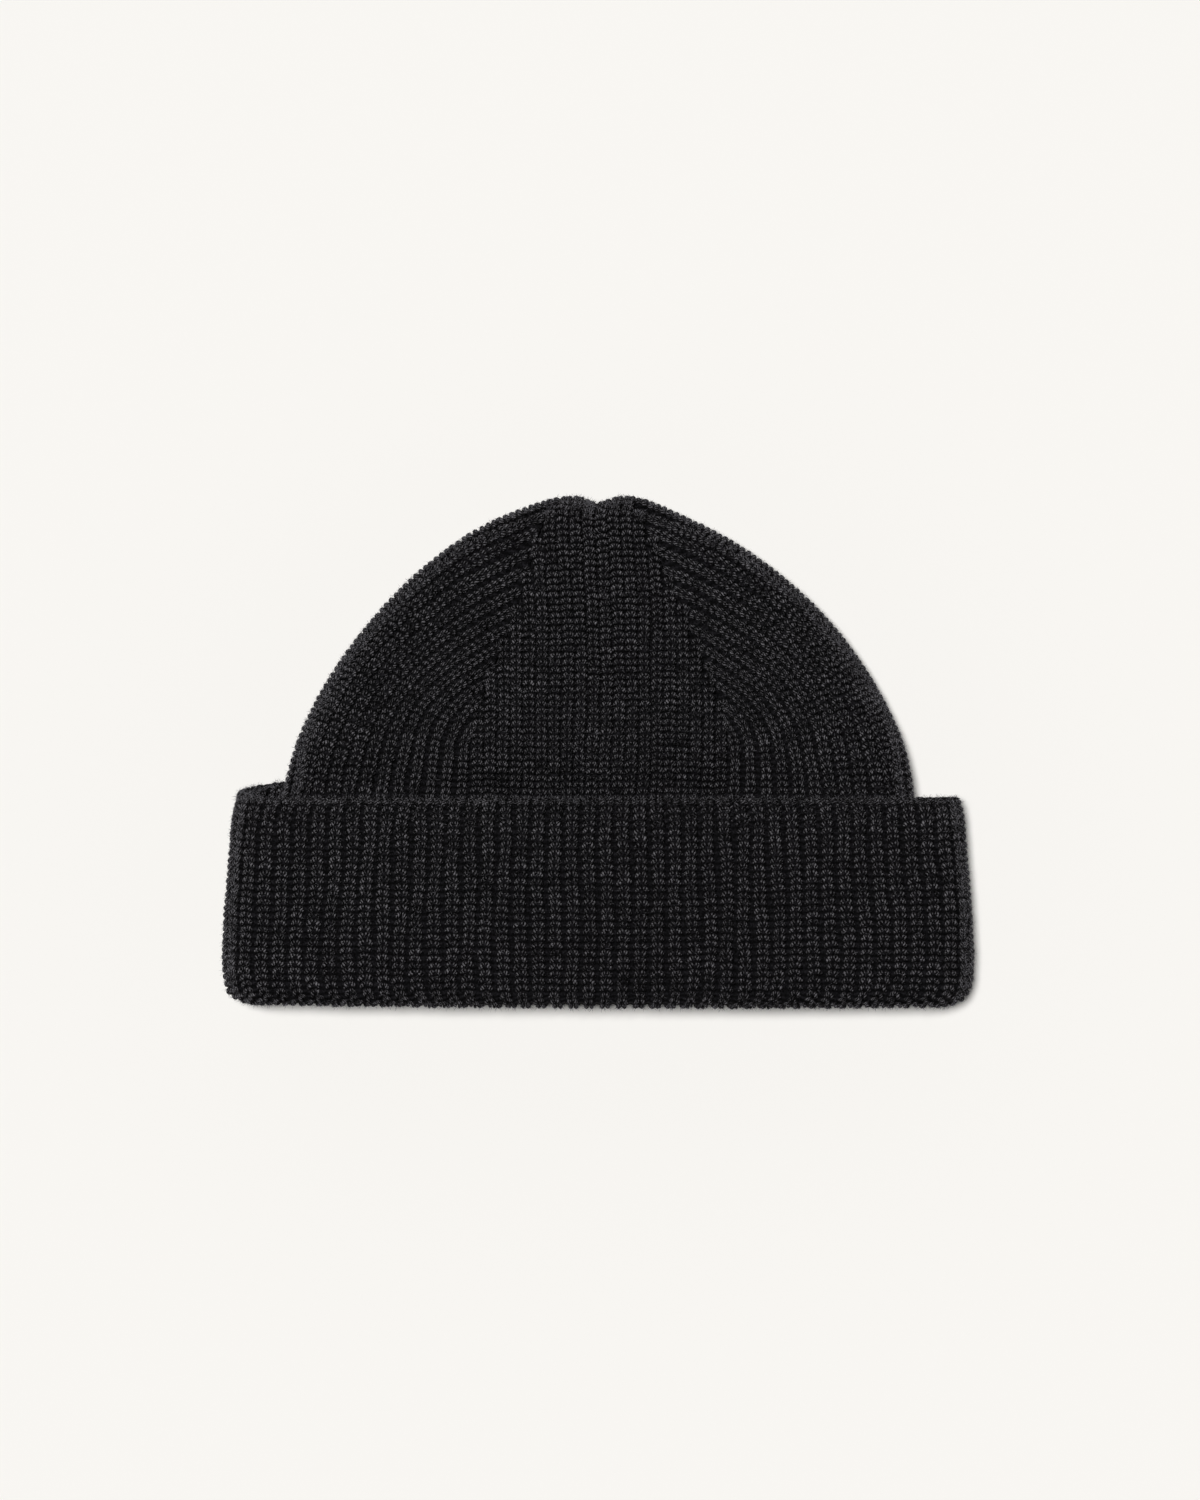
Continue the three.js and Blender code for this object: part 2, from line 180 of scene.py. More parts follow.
world = bpy.data.worlds.new("sky")
world.use_nodes = True
tree = world.node_tree
tree.nodes.clear()
direction = add_node(tree, "ShaderNodeTexCoord")
upwards = add_node(tree, "ShaderNodeSeparateXYZ", Vector=direction.outputs["Generated"])
walls = add_node(
    tree, "ShaderNodeMapRange",
    _0=upwards.outputs[2], _1=0.0, _2=SKY_TOP, _3=SKY_STRENGTH, _4=0.0,
)
sky = add_node(tree, "ShaderNodeBackground", Color=rgba(SKY_COLOUR), Strength=walls.outputs[0])
add_node(tree, "ShaderNodeOutputWorld", Surface=sky.outputs[0])
scene.world = world
print("lamp", round(math.degrees(LAMP_FROM.angle((0, 0, 1)))), "degrees off the vertical")

# %% [markdown]
# ## The hat's sizes
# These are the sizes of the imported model, in millimetres, written again here because the
# yarn has to follow its ribs. The overall ones are read from the model's boxes.

# %% Sizes of the hat
cuff_low, cuff_high = (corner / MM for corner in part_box("cuff"))
crown_low, crown_high = (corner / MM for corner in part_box("crown"))

WALL = 3.2
LAYER_GAP = 0.8
FRONT_RIBS = 20
SIDE_RIBS = 26
RIBS = 2 * (FRONT_RIBS + SIDE_RIBS)
GORES = {"front": FRONT_RIBS, "right": SIDE_RIBS, "back": FRONT_RIBS, "left": SIDE_RIBS}
GORE_START = {"front": 0, "right": FRONT_RIBS, "back": RIBS // 2, "left": RIBS - SIDE_RIBS}

HAT_LENGTH = 156.4
PUFF = 0.15
FOLD_BOW = 1.3
FOLD_BOW_CENTRE = 36

CUFF_HEIGHT = 63
CUFF_WIDTH = 230
CUFF_THICKNESS = 24.5
INNER_LEG = 12
RIM_LIFT = 5.4
RIM_LIFT_RIB = 73
RIM_LIFT_RIBS = 10

CROWN_WIDTH = 199.5
WIDEST_BELOW_RIM = 13.8
OUTLINE_POWER = 1.74
GORE_WIDTH = 78
GORE_TIP_WIDTH = 22
SEAM_REACH = 1.1
SHAPING_LENGTH = 67
SHAPING_SOFTNESS = 0.15
SHOULDER_RISE = 0.9
SHOULDER_SPREAD = 7
SEAM_DIP = 2.4
SEAM_DIP_SPREAD = 4.5

LAYER = WALL + LAYER_GAP
FOLD_Y = FOLD_BOW - HAT_LENGTH / 2
TIP_Y = HAT_LENGTH / 2 + SEAM_REACH
RIM_Y = FOLD_Y + CUFF_HEIGHT
WIDEST_Y = RIM_Y - WIDEST_BELOW_RIM
CROWN_RISE = TIP_Y - WIDEST_Y
FOLD_RADIUS = WALL + LAYER_GAP / 2
BEND_Y = FOLD_Y + FOLD_RADIUS
JOIN_Y = BEND_Y + INNER_LEG + LAYER_GAP
CUFF_RADIUS = CUFF_THICKNESS / 2
BODY_THICKNESS = CUFF_THICKNESS - 2 * LAYER
RIB_PITCH = GORE_WIDTH / FRONT_RIBS
LINE_SLOPE = (GORE_WIDTH - GORE_TIP_WIDTH) / 2 / SHAPING_LENGTH
SHAPING_Y = TIP_Y - SHAPING_LENGTH
print("the cuff's box in mm:", [round(v, 1) for v in cuff_high - cuff_low])
print("the crown's box in mm:", [round(v, 1) for v in crown_high - crown_low])

# %% [markdown]
# ## Smooth curves through a few sections
# The cuff's width and the crown's thickness change smoothly from section to section. A cubic
# curve through the named sections gives every place between them.

# %% Sections
def smooth_curve(knots, values):
    """A cubic curve through the values, whose slope at each is the mean of its neighbours'."""
    knots, values = np.array(knots, float), np.array(values, float)
    rises = np.diff(values) / np.diff(knots)
    slopes = np.concatenate([rises[:1], (rises[:-1] + rises[1:]) / 2, rises[-1:]])

    def at(place):
        place = np.clip(place, knots[0], knots[-1])
        n = np.clip(np.searchsorted(knots, place, side="right") - 1, 0, len(knots) - 2)
        step = knots[n + 1] - knots[n]
        p = (place - knots[n]) / step
        start = (2 * p**3 - 3 * p**2 + 1) * values[n] + (p**3 - 2 * p**2 + p) * step * slopes[n]
        end = (3 * p**2 - 2 * p**3) * values[n + 1] + (p**3 - p**2) * step * slopes[n + 1]
        return start + end

    return at


# From the rim down to the fold: half the cuff's width, as a share of half CUFF_WIDTH
cuff_half_share = smooth_curve(
    [0, 0.07, 0.3, 0.55, 0.76, 0.88, 0.95, 1],
    [0.961, 0.972, 0.983, 0.995, 1, 0.996, 0.98, 0.94],
)
# From the rim up to the tip: how far the cuff lifts the crown, its thickness, and its lean
CROWN_SECTIONS = [0, 0.07, 0.18, 0.3, 0.42, 0.6, 0.8, 0.92, 1]
crown_lift_share = smooth_curve(CROWN_SECTIONS, [1, 1, 0.5, 0.1, 0, 0, 0, 0, 0])
crown_thick_share = smooth_curve(CROWN_SECTIONS, [1, 1.04, 1.08, 1.1, 1.09, 1.05, 0.95, 0.84, 0.74])
crown_lean = smooth_curve(CROWN_SECTIONS, [0, 0.3, 0.5, 0.6, 0.6, 0.5, -0.6, -1.2, 0.6])


def smooth_step(value, low, high):
    p = np.clip((value - low) / (high - low), 0, 1)
    return p * p * (3 - 2 * p)


def soft_ramp(value, softness):
    """Zero for negative values and the value itself for positive ones, with a soft bend."""
    bend = (value + softness) ** 2 / (4 * softness)
    return np.where(np.abs(value) >= softness, np.maximum(0, value), bend)


# How soft ribs wander: size in ribs, number of waves round the hat, and turn per mm up the rib
RIB_SWAYS = [(0.065, 15, 0.13), (0.03, 28, 0.37)]
# The same for the courses, with the size in mm
COURSE_SWAYS = [(0.30, 9, 0.05), (0.12, 23, 0.11)]


def sway(waves, ribs, length):
    """The small wander of soft fabric that is laid down by hand."""
    around = 2 * math.pi * ribs / RIBS
    return sum(
        size * np.sin(count * around + turn * length + 2 * np.sin(5 * around))
        for size, count, turn in waves
    )


def lie(points):
    """How the hat lies: thicker in the middle, its fold bowed out, its crown leaning a little."""
    x, y, z = points[..., 0], points[..., 1], points[..., 2]
    towards_fold = np.clip((RIM_Y - y) / CUFF_HEIGHT, 0, 1)
    bow = FOLD_BOW * towards_fold * (1 - 2 * ((x - FOLD_BOW_CENTRE) / CUFF_WIDTH) ** 2)
    lifted = z * (1 + PUFF * (1 - (2 * x / CUFF_WIDTH) ** 2))
    leaning = x + crown_lean((y - bow - RIM_Y) / (TIP_Y - RIM_Y))
    return np.stack([leaning, y - bow, lifted], axis=-1)

# %% [markdown]
# ## Where the cuff's fabric runs
# A place on the cuff has a rib number, counted round the hat, and a length from the rim: down
# the outer face, round the fold and up the leg inside the mouth. A negative length goes over
# the rim and down the cuff's inner face. Each place gets a point and the direction out of
# the fabric.

# %% Cuff surface
RIM_RADIUS = WALL / 2
RIM_LENGTH = math.pi * RIM_RADIUS
FOLD_LENGTH = math.pi * FOLD_RADIUS
RIM_HOLDS = 8  # mm from the rim in which its firm edge still keeps the ribs from wandering


def cuff_half_width(y):
    return cuff_half_share((RIM_Y - y) / CUFF_HEIGHT) * CUFF_WIDTH / 2


def rim_y(rib):
    away = np.clip(np.abs(rib - RIM_LIFT_RIB) / RIM_LIFT_RIBS, 0, 1)
    return RIM_Y + RIM_LIFT * np.cos(away * math.pi / 2) ** 2


def cuff_ring(rib, y, inset):
    """Point and outward direction on a level section: two flat runs joined by half rounds."""
    radius = CUFF_RADIUS - inset
    flat = cuff_half_width(y) - CUFF_RADIUS
    around = 4 * flat + 2 * math.pi * radius
    share = np.mod((rib - FRONT_RIBS / 2) / RIBS + 0.5, 1) - 0.5
    along = np.abs(share) * around
    turn = np.clip((along - flat) / radius, 0, math.pi)
    beyond = np.maximum(0, along - flat - math.pi * radius)
    x = np.where(along < flat, along, flat - beyond + radius * np.sin(turn))
    side = np.sign(share)
    point = np.stack([side * x, y, CUFF_RADIUS + radius * np.cos(turn)], axis=-1)
    out = np.stack([side * np.sin(turn), np.zeros_like(turn), np.cos(turn)], axis=-1)
    return point, out


def cuff_surface(rib, length, sink=0.0):
    """Points on the cuff, at `sink` below its ridges, with the direction out of the fabric."""
    rib, length = np.broadcast_arrays(np.asarray(rib, float), np.asarray(length, float))
    free = smooth_step(length, 0, RIM_HOLDS)
    length = length + sway(COURSE_SWAYS, rib, length) * free
    rib = rib + sway(RIB_SWAYS, rib, length) * free
    top = rim_y(rib) - RIM_RADIUS
    face = top - BEND_Y
    over_rim = length < 0
    turn = np.where(over_rim, -length / RIM_RADIUS, (length - face) / FOLD_RADIUS)
    turn = np.clip(turn, 0, math.pi)
    bend = np.where(over_rim, RIM_RADIUS, FOLD_RADIUS)
    beyond_rim = np.maximum(0, -length - RIM_LENGTH)
    beyond_fold = np.maximum(0, length - face - FOLD_LENGTH)
    y = np.where(
        over_rim,
        top + (bend - sink) * np.sin(turn) - beyond_rim,
        np.where(length < face, top - length, BEND_Y - (bend - sink) * np.sin(turn) + beyond_fold),
    )
    point, out = cuff_ring(rib, y, bend - (bend - sink) * np.cos(turn))
    away = np.where(over_rim, 1, -1)[..., None] * np.array([0, 1, 0])
    out = out * np.cos(turn)[..., None] + away * np.sin(turn)[..., None]
    return lie(point), out


def cuff_length(rib):
    """Length of the fabric from the rim to the end of the leg inside the mouth."""
    return rim_y(rib) - RIM_RADIUS - BEND_Y + FOLD_LENGTH + INNER_LEG


print("fabric in the cuff, rim to end of the inner leg:", round(float(cuff_length(0))), "mm")

# %% [markdown]
# ## Where the crown's fabric runs
# Below the shaping, ribs run straight up. Then four lines take them in: the front and back
# gore narrow evenly, and the side gores' ribs lean over, run beside the outline and end one
# by one on the line. A place has a gore, a count of ribs from the gore's middle and a height.

# %% Crown outline
OUTLINE_STEPS = 800


def arch_height(x):
    across = np.clip(np.abs(x) * 2 / CROWN_WIDTH, 0, 1)
    arch = (1 - across**OUTLINE_POWER) ** (1 / OUTLINE_POWER)
    shoulder = np.exp(-(((np.abs(x) - GORE_TIP_WIDTH / 2 - SEAM_DIP_SPREAD) / SHOULDER_SPREAD) ** 2))
    dip = np.exp(-((x / SEAM_DIP_SPREAD) ** 2))
    return CROWN_RISE * arch + SHOULDER_RISE * shoulder - SEAM_DIP * dip


def arch_half_width(y):
    up = np.clip((y - WIDEST_Y) / CROWN_RISE, 0, 1)
    return CROWN_WIDTH / 2 * (1 - up**OUTLINE_POWER) ** (1 / OUTLINE_POWER)


def body_half_width(y):
    at_join = cuff_half_width(JOIN_Y) - LAYER
    share = smooth_step(y, JOIN_Y, RIM_Y)
    return at_join + (arch_half_width(RIM_Y) - at_join) * share


def arch_points():
    """The outline's right half from the rim to the closing seam, at even lengths."""
    power = 2 / OUTLINE_POWER
    start = math.asin(((RIM_Y - WIDEST_Y) / CROWN_RISE) ** (1 / power))
    end = math.acos((GORE_TIP_WIDTH / CROWN_WIDTH) ** (1 / power))
    x = CROWN_WIDTH / 2 * np.cos(np.linspace(start, end, OUTLINE_STEPS)) ** power
    points = np.stack([x, WIDEST_Y + arch_height(x)], axis=-1)
    lengths = np.concatenate([[0], np.cumsum(np.linalg.norm(np.diff(points, axis=0), axis=1))])
    return points, lengths / lengths[-1]


outline_points, outline_shares = arch_points()


def outline_at(share):
    return np.stack([np.interp(share, outline_shares, outline_points[:, n]) for n in (0, 1)], axis=-1)


def depth_inside(x, y):
    """How far a place in the plan lies inside the outline."""
    across = np.clip(np.abs(x) * 2 / CROWN_WIDTH, 1e-6, 1 - 1e-9)
    rise = arch_height(x) / (1 - across**OUTLINE_POWER) ** (1 / OUTLINE_POWER)
    up = np.maximum(y - WIDEST_Y, 1e-6) / rise
    norm = (across**OUTLINE_POWER + up**OUTLINE_POWER) ** (1 / OUTLINE_POWER)
    slope = norm ** (1 - OUTLINE_POWER)
    gradient = np.hypot(
        slope * across ** (OUTLINE_POWER - 1) * 2 / CROWN_WIDTH,
        slope * up ** (OUTLINE_POWER - 1) / rise,
    )
    return np.where(y <= RIM_Y, body_half_width(y) - np.abs(x), (1 - norm) / gradient)


outline_steps = np.linalg.norm(np.diff(outline_points, axis=0), axis=1)
print("length of the outline's half in mm:", round(float(outline_steps.sum())))

# %% [markdown]
# The crown is rounded towards its outline, so a length on the fabric is more than its length
# in the plan. Two functions turn one into the other, and a level at each height says where the
# shaping line is and how many ribs it has left. The surface follows from these.

# %% Crown surface
SEAM_HOLDS = (0.8, 0.97)  # shares of the crown's length between which its ribs stop wandering
SLOPE_STEP = 0.05


def crown_underside(y):
    return np.maximum(0, crown_lift_share((y - RIM_Y) / (TIP_Y - RIM_Y))) * LAYER


def crown_radius(y):
    return crown_thick_share((y - RIM_Y) / (TIP_Y - RIM_Y)) * BODY_THICKNESS / 2


def unrolled(flat, radius):
    """Length over a rounded edge of a place that lies `flat` inside it in the plan."""
    over = radius * np.arccos(np.clip(1 - flat / radius, -1, 1))
    return np.where(flat >= radius, flat + (math.pi / 2 - 1) * radius, over)


def rolled(length, radius):
    """The reverse: how far inside the edge a length over it reaches."""
    edge = math.pi / 2 * radius
    over = radius * (1 - np.cos(np.minimum(length, edge) / radius))
    return np.where(length >= edge, length - edge + radius, over)


TIP_RADIUS = float(crown_radius(TIP_Y))
tip_y = WIDEST_Y + float(arch_height(0.0))
CROWN_LENGTH = float(unrolled(tip_y - RIM_Y, TIP_RADIUS))
SHAPING_SHARE = 1 - float(unrolled(SHAPING_LENGTH, TIP_RADIUS) / unrolled(TIP_Y - RIM_Y, TIP_RADIUS))


def crown_level(height):
    """A level at a height over the rim, measured over the front's middle: its y there, the
    shaping line's x, the ribs left in half a side gore and the share of the outline's length."""
    share = np.clip(height / CROWN_LENGTH, 0, 1)
    y = tip_y - rolled((1 - share) * CROWN_LENGTH, TIP_RADIUS)
    y = np.where(height < 0, RIM_Y + height, y)
    narrowing = soft_ramp(y - SHAPING_Y, SHAPING_SOFTNESS * SHAPING_LENGTH)
    line_above = GORE_WIDTH / 2 - LINE_SLOPE * narrowing
    line_below = GORE_WIDTH / 2 * body_half_width(y) / arch_half_width(RIM_Y)
    line_x = np.where(height < 0, line_below, line_above)
    taken = soft_ramp((share - SHAPING_SHARE) / (1 - SHAPING_SHARE), SHAPING_SOFTNESS)
    return y, line_x, SIDE_RIBS / 2 * (1 - taken), share


def ribs_left(gore, height):
    """Ribs on each side of the gore's middle at a height."""
    _, line_x, side_ribs, _ = crown_level(height)
    if gore in ("left", "right"):
        return side_ribs
    return np.where(height < 0, FRONT_RIBS / 2, line_x / RIB_PITCH)


def gore_y(x, y):
    """A level of the front or back gore bends with the top of the outline."""
    above = RIM_Y + (y - RIM_Y) * (WIDEST_Y + arch_height(x) - RIM_Y) / (tip_y - RIM_Y)
    return np.where(y > RIM_Y, above, y)


def crown_plan(gore, ribs, height):
    y, line_x, side_ribs, share = crown_level(height)
    if gore in ("front", "back"):
        pitch = np.where(height < 0, 2 * line_x / FRONT_RIBS, RIB_PITCH)
        x = ribs * pitch * (1 if gore == "front" else -1)
        return x, gore_y(x, y)
    outline = outline_at(share)
    edge_x = np.where(height < 0, body_half_width(y), outline[..., 0])
    edge_y = np.where(height < 0, y, outline[..., 1])
    line_y = gore_y(line_x, y)
    span = np.maximum(np.hypot(edge_x - line_x, edge_y - line_y), 1e-6)
    radius = crown_radius(y)
    along = np.abs(ribs) / np.maximum(side_ribs, 1e-6) * unrolled(span, radius)
    part = np.minimum(1, rolled(along, radius) / span)
    x = edge_x + (line_x - edge_x) * part
    return x * (1 if gore == "right" else -1), edge_y + (line_y - edge_y) * part


def is_under(gore, ribs):
    """Whether ribs lie on the table's side: the side gores turn under at their middle."""
    if gore == "right":
        return ribs > 0
    if gore == "left":
        return ribs < 0
    return np.full(np.shape(ribs), gore == "back")


def crown_surface(gore, ribs, height, sink=0.0):
    """Points on the crown, at `sink` below its ridges, with the direction out of the fabric."""
    ribs, height = np.broadcast_arrays(np.asarray(ribs, float), np.asarray(height, float))
    number = ribs + GORES[gore] / 2 + GORE_START[gore]
    free = 1 - smooth_step(height, *(share * CROWN_LENGTH for share in SEAM_HOLDS))
    height = height + sway(COURSE_SWAYS, number, height) * free
    inside_gore = 1 - np.clip(np.abs(ribs) / np.maximum(ribs_left(gore, height), 1e-6), 0, 1) ** 2
    ribs = ribs + sway(RIB_SWAYS, number, height) * free * inside_gore
    x, y = crown_plan(gore, ribs, height)
    radius = crown_radius(y)
    inside = np.clip(depth_inside(x, y) / radius, 0, 1)
    slope_x = depth_inside(x + SLOPE_STEP, y) - depth_inside(x - SLOPE_STEP, y)
    slope_y = depth_inside(x, y + SLOPE_STEP) - depth_inside(x, y - SLOPE_STEP)
    steepness = np.maximum(np.hypot(slope_x, slope_y), 1e-9)
    upright = np.sqrt(1 - (1 - inside) ** 2)
    up = np.where(is_under(gore, ribs), -1, 1) * upright
    out_x = -slope_x / steepness * (1 - inside)
    out_y = -slope_y / steepness * (1 - inside)
    out = np.stack([out_x, out_y, up], axis=-1)
    middle = crown_underside(y) + radius
    point = np.stack([x, y, middle + up * radius], axis=-1) - out * np.asarray(sink)[..., None]
    return lie(point), out


print("the crown's length over the front's middle in mm:", round(CROWN_LENGTH))
print("its shaping starts at", round(CROWN_LENGTH * SHAPING_SHARE))

# %% [markdown]
# ## The fabric under the stitches
# Between the ribs lie the purl columns, which sink in and turn almost black. Their dark is
# partly real shade under the stitches and partly painted shade: their wool is given a darker
# colour than the same yarn on top. They are modelled as one fabric under the stitches. A flat
# grid is the knit as it comes off the needles, each of its columns a quarter of a rib, and it
# is laid on the hat by moving its vertices there.
# Solidify then gives it its thickness. Its UV map counts ribs and courses, so that the
# material can draw the loops of the inside, where no stitches are modelled.

# %% Fabric
COURSE = 2.08
GROUND_SINK = 0.8
GROOVE_SINK = 1.35
GROUND_WALL = 0.6
COLUMNS_PER_RIB = 4
ROW = 3.6


def coordinates(mesh):
    flat = np.zeros(len(mesh.vertices) * 3, np.float32)
    mesh.vertices.foreach_get("co", flat)
    return flat.reshape(-1, 3).astype(float)


def place_vertices(mesh, points):
    mesh.vertices.foreach_set("co", (points * MM).astype(np.float32).ravel())
    mesh.update()


def set_uv(mesh, ribs, courses):
    corners = np.zeros(len(mesh.loops), np.int32)
    mesh.loops.foreach_get("vertex_index", corners)
    values = np.stack([ribs[corners], courses[corners]], axis=-1)
    mesh.uv_layers[0].data.foreach_set("uv", values.astype(np.float32).ravel())


def flat_grid(name, columns, rows):
    """A flat grid, with the share across and the share up of each of its vertices."""
    bpy.ops.object.select_all(action="DESELECT")
    bpy.ops.mesh.primitive_grid_add(x_subdivisions=columns, y_subdivisions=rows, size=1)
    grid = bpy.context.object
    grid.name = name
    shares = coordinates(grid.data)[:, :2] + 0.5
    return grid, shares[:, 0], shares[:, 1]


def groove(ribs, out):
    """Depth of the fabric below the ridges: deepest between two ribs, less so where the fabric
    is pressed on the table or drawn round the fold."""
    wave = ((1 + np.cos(2 * math.pi * ribs)) / 2) ** 1.5
    on_table = smooth_step(-out[:, 2], 0.6, 1)
    at_fold = smooth_step(-out[:, 1], 0.3, 0.9)
    return GROUND_SINK + GROOVE_SINK * wave * (1 - 0.7 * on_table) * (1 - 0.4 * at_fold)


def finish_fabric(fabric):
    bpy.ops.object.select_all(action="DESELECT")
    fabric.select_set(True)
    bpy.context.view_layer.objects.active = fabric
    bpy.ops.object.mode_set(mode="EDIT")
    bpy.ops.mesh.select_all(action="SELECT")
    bpy.ops.mesh.remove_doubles(threshold=0.05 * MM)
    bpy.ops.object.mode_set(mode="OBJECT")
    wall = fabric.modifiers.new("wall", "SOLIDIFY")
    wall.thickness = GROUND_WALL * MM
    wall.offset = -1
    bpy.ops.object.modifier_apply(modifier="wall")
    bpy.ops.object.shade_smooth()
    print(fabric.name, len(fabric.data.polygons), "faces")


def knit_cuff():
    rows = round(float(cuff_length(0)) / ROW)
    fabric, across, up = flat_grid("cuff_fabric", RIBS * COLUMNS_PER_RIB, rows)
    ribs = across * RIBS
    length = (1 - up) * cuff_length(ribs)
    _, out = cuff_surface(ribs, length)
    points, _ = cuff_surface(ribs, length, groove(ribs, out))
    place_vertices(fabric.data, points)
    set_uv(fabric.data, ribs, length / COURSE)
    return fabric


cuff_fabric = knit_cuff()
finish_fabric(cuff_fabric)

# %% [markdown]
# ## The crown's fabric
# The four gores are knitted the same way and then joined. Three dents show that soft fabric
# was laid down: at a shaping line the ribs dive under their neighbours, at the closing seam
# they are drawn tight and flat, and just over the rim the crown is tucked in behind the cuff.
# Each dent is a depth that is added to the grooves, and the stitches later sink with it.

# %% Crown fabric
HIDDEN_LENGTH = RIM_Y - JOIN_Y
CREASE_DEPTH = 2.1
CREASE_RIBS = {"front": 0.4, "back": 0.4, "left": 1.3, "right": 1.3}
CREASE_BLEND = 0.1
CLOSING = (0.93, 0.99)
CLOSING_FLATTENS = 0.6
TUCK_DEPTH = 3.6
TUCK_SPREAD = 9.0
TUCK_AT_SIDES = 0.35


def crease(gore, ribs, height, out):
    """At a shaping line the ribs dive: those of the side gores slowly, under the front's edge."""
    from_line = (ribs_left(gore, height) - np.abs(ribs)) / CREASE_RIBS[gore]
    low = (SHAPING_SHARE - CREASE_BLEND) * CROWN_LENGTH
    high = (SHAPING_SHARE + CREASE_BLEND) * CROWN_LENGTH
    shaped = smooth_step(height, low, high)
    return CREASE_DEPTH * np.exp(-(from_line**2)) * shaped * smooth_step(np.abs(out[:, 2]), 0.3, 0.9)


def closing(height):
    """Share left of the grooves' depth, as the fabric is drawn tight at the closing seam."""
    return 1 - CLOSING_FLATTENS * smooth_step(height, *(share * CROWN_LENGTH for share in CLOSING))


def tuck(height, out):
    """Just over the rim the crown comes out from behind the cuff, a little deeper."""
    depth = TUCK_DEPTH * np.exp(-((np.maximum(height, 0) / TUCK_SPREAD) ** 2))
    return depth * (TUCK_AT_SIDES + (1 - TUCK_AT_SIDES) * smooth_step(np.abs(out[:, 2]), 0.3, 0.9))


def knit_gore(gore):
    rows = round((HIDDEN_LENGTH + CROWN_LENGTH) / ROW)
    fabric, across, up = flat_grid(gore + "_gore", GORES[gore] * COLUMNS_PER_RIB, rows)
    height = up * (HIDDEN_LENGTH + CROWN_LENGTH) - HIDDEN_LENGTH
    ribs = (2 * across - 1) * ribs_left(gore, height)
    number = ribs + GORES[gore] / 2 + GORE_START[gore]
    _, out = crown_surface(gore, ribs, height)
    sink = groove(number, out) * closing(height) + crease(gore, ribs, height, out) + tuck(height, out)
    points, _ = crown_surface(gore, ribs, height, sink)
    place_vertices(fabric.data, points)
    set_uv(fabric.data, number, height / COURSE)
    return fabric


gores = [knit_gore(gore) for gore in GORES]
bpy.ops.object.select_all(action="DESELECT")
for gore in gores:
    gore.select_set(True)
bpy.context.view_layer.objects.active = gores[0]
bpy.ops.object.join()
crown_fabric = bpy.context.object
crown_fabric.name = "crown_fabric"
finish_fabric(crown_fabric)

# %% [markdown]
# ## One stitch
# A knit stitch shows as a V: two legs of yarn that rise out of the stitch before it, lean
# apart and dive under the next one. A leg is a flat strip rolled into a tube along the rows
# of the table, with its ends drawn to a point, and the other leg is its mirror image. Rolling
# a grid keeps its UV map, which later lets the material wind the plies round the yarn.

# %% Stitch
STITCH_PITCH = 4.4
STITCH_SINK = 0.88
YARN_SIDES = 6
LEG = np.array([
    # Middle of the leg: x across the rib, y along it, z out of it; radius of the yarn, all in mm
    (0.30, -1.40, -0.85, 0.00),
    (0.62, -0.68, -0.04, 0.58),
    (0.94, 0.00, 0.14, 0.66),
    (1.20, 0.68, -0.04, 0.56),
    (1.38, 1.40, -0.85, 0.00),
])


def merge_and_turn_out():
    bpy.ops.object.mode_set(mode="EDIT")
    bpy.ops.mesh.select_all(action="SELECT")
    bpy.ops.mesh.remove_doubles(threshold=0.001 * MM)
    bpy.ops.mesh.normals_make_consistent(inside=False)
    bpy.ops.object.mode_set(mode="OBJECT")


def yarn_leg():
    leg, around, along = flat_grid("leg", YARN_SIDES, len(LEG) - 1)
    turn = 2 * math.pi * around
    rows = np.rint(along * (len(LEG) - 1)).astype(int)
    x, y, z, radius = LEG[rows].T
    points = np.stack([x + radius * np.sin(turn), y, z + radius * np.cos(turn)], axis=-1)
    place_vertices(leg.data, points)
    merge_and_turn_out()
    return leg


def stitch_of_two_legs():
    right = yarn_leg()
    bpy.ops.object.duplicate()
    bpy.ops.object.mode_set(mode="EDIT")
    bpy.ops.mesh.select_all(action="SELECT")
    bpy.ops.transform.resize(value=(-1, 1, 1), center_override=(0, 0, 0))
    bpy.ops.mesh.normals_make_consistent(inside=False)
    bpy.ops.object.mode_set(mode="OBJECT")
    right.select_set(True)
    bpy.ops.object.join()
    bpy.ops.object.shade_smooth()
    return bpy.context.object


stitch = stitch_of_two_legs()
stitch.name = "stitch"
print("one stitch has", len(stitch.data.polygons), "faces")

# %% [markdown]
# ## Laying the stitches
# The stitches follow each rib one after another, a course apart. Points are put on the ribs
# first, each with the turn, the size and the shade of its stitch, and Geometry Nodes then puts
# a stitch on every point and realizes it. No two stitches of a knit are quite alike, so each
# is shifted, turned and tinted a little, from a fixed seed. The shade also carries painted
# light and shade at a few places.

# %% Geometry Nodes for the stitches
FLOOR_CLEARANCE = 0.05
WOBBLE_SIZE = 1.6
WOBBLE_DEPTH = 0.14


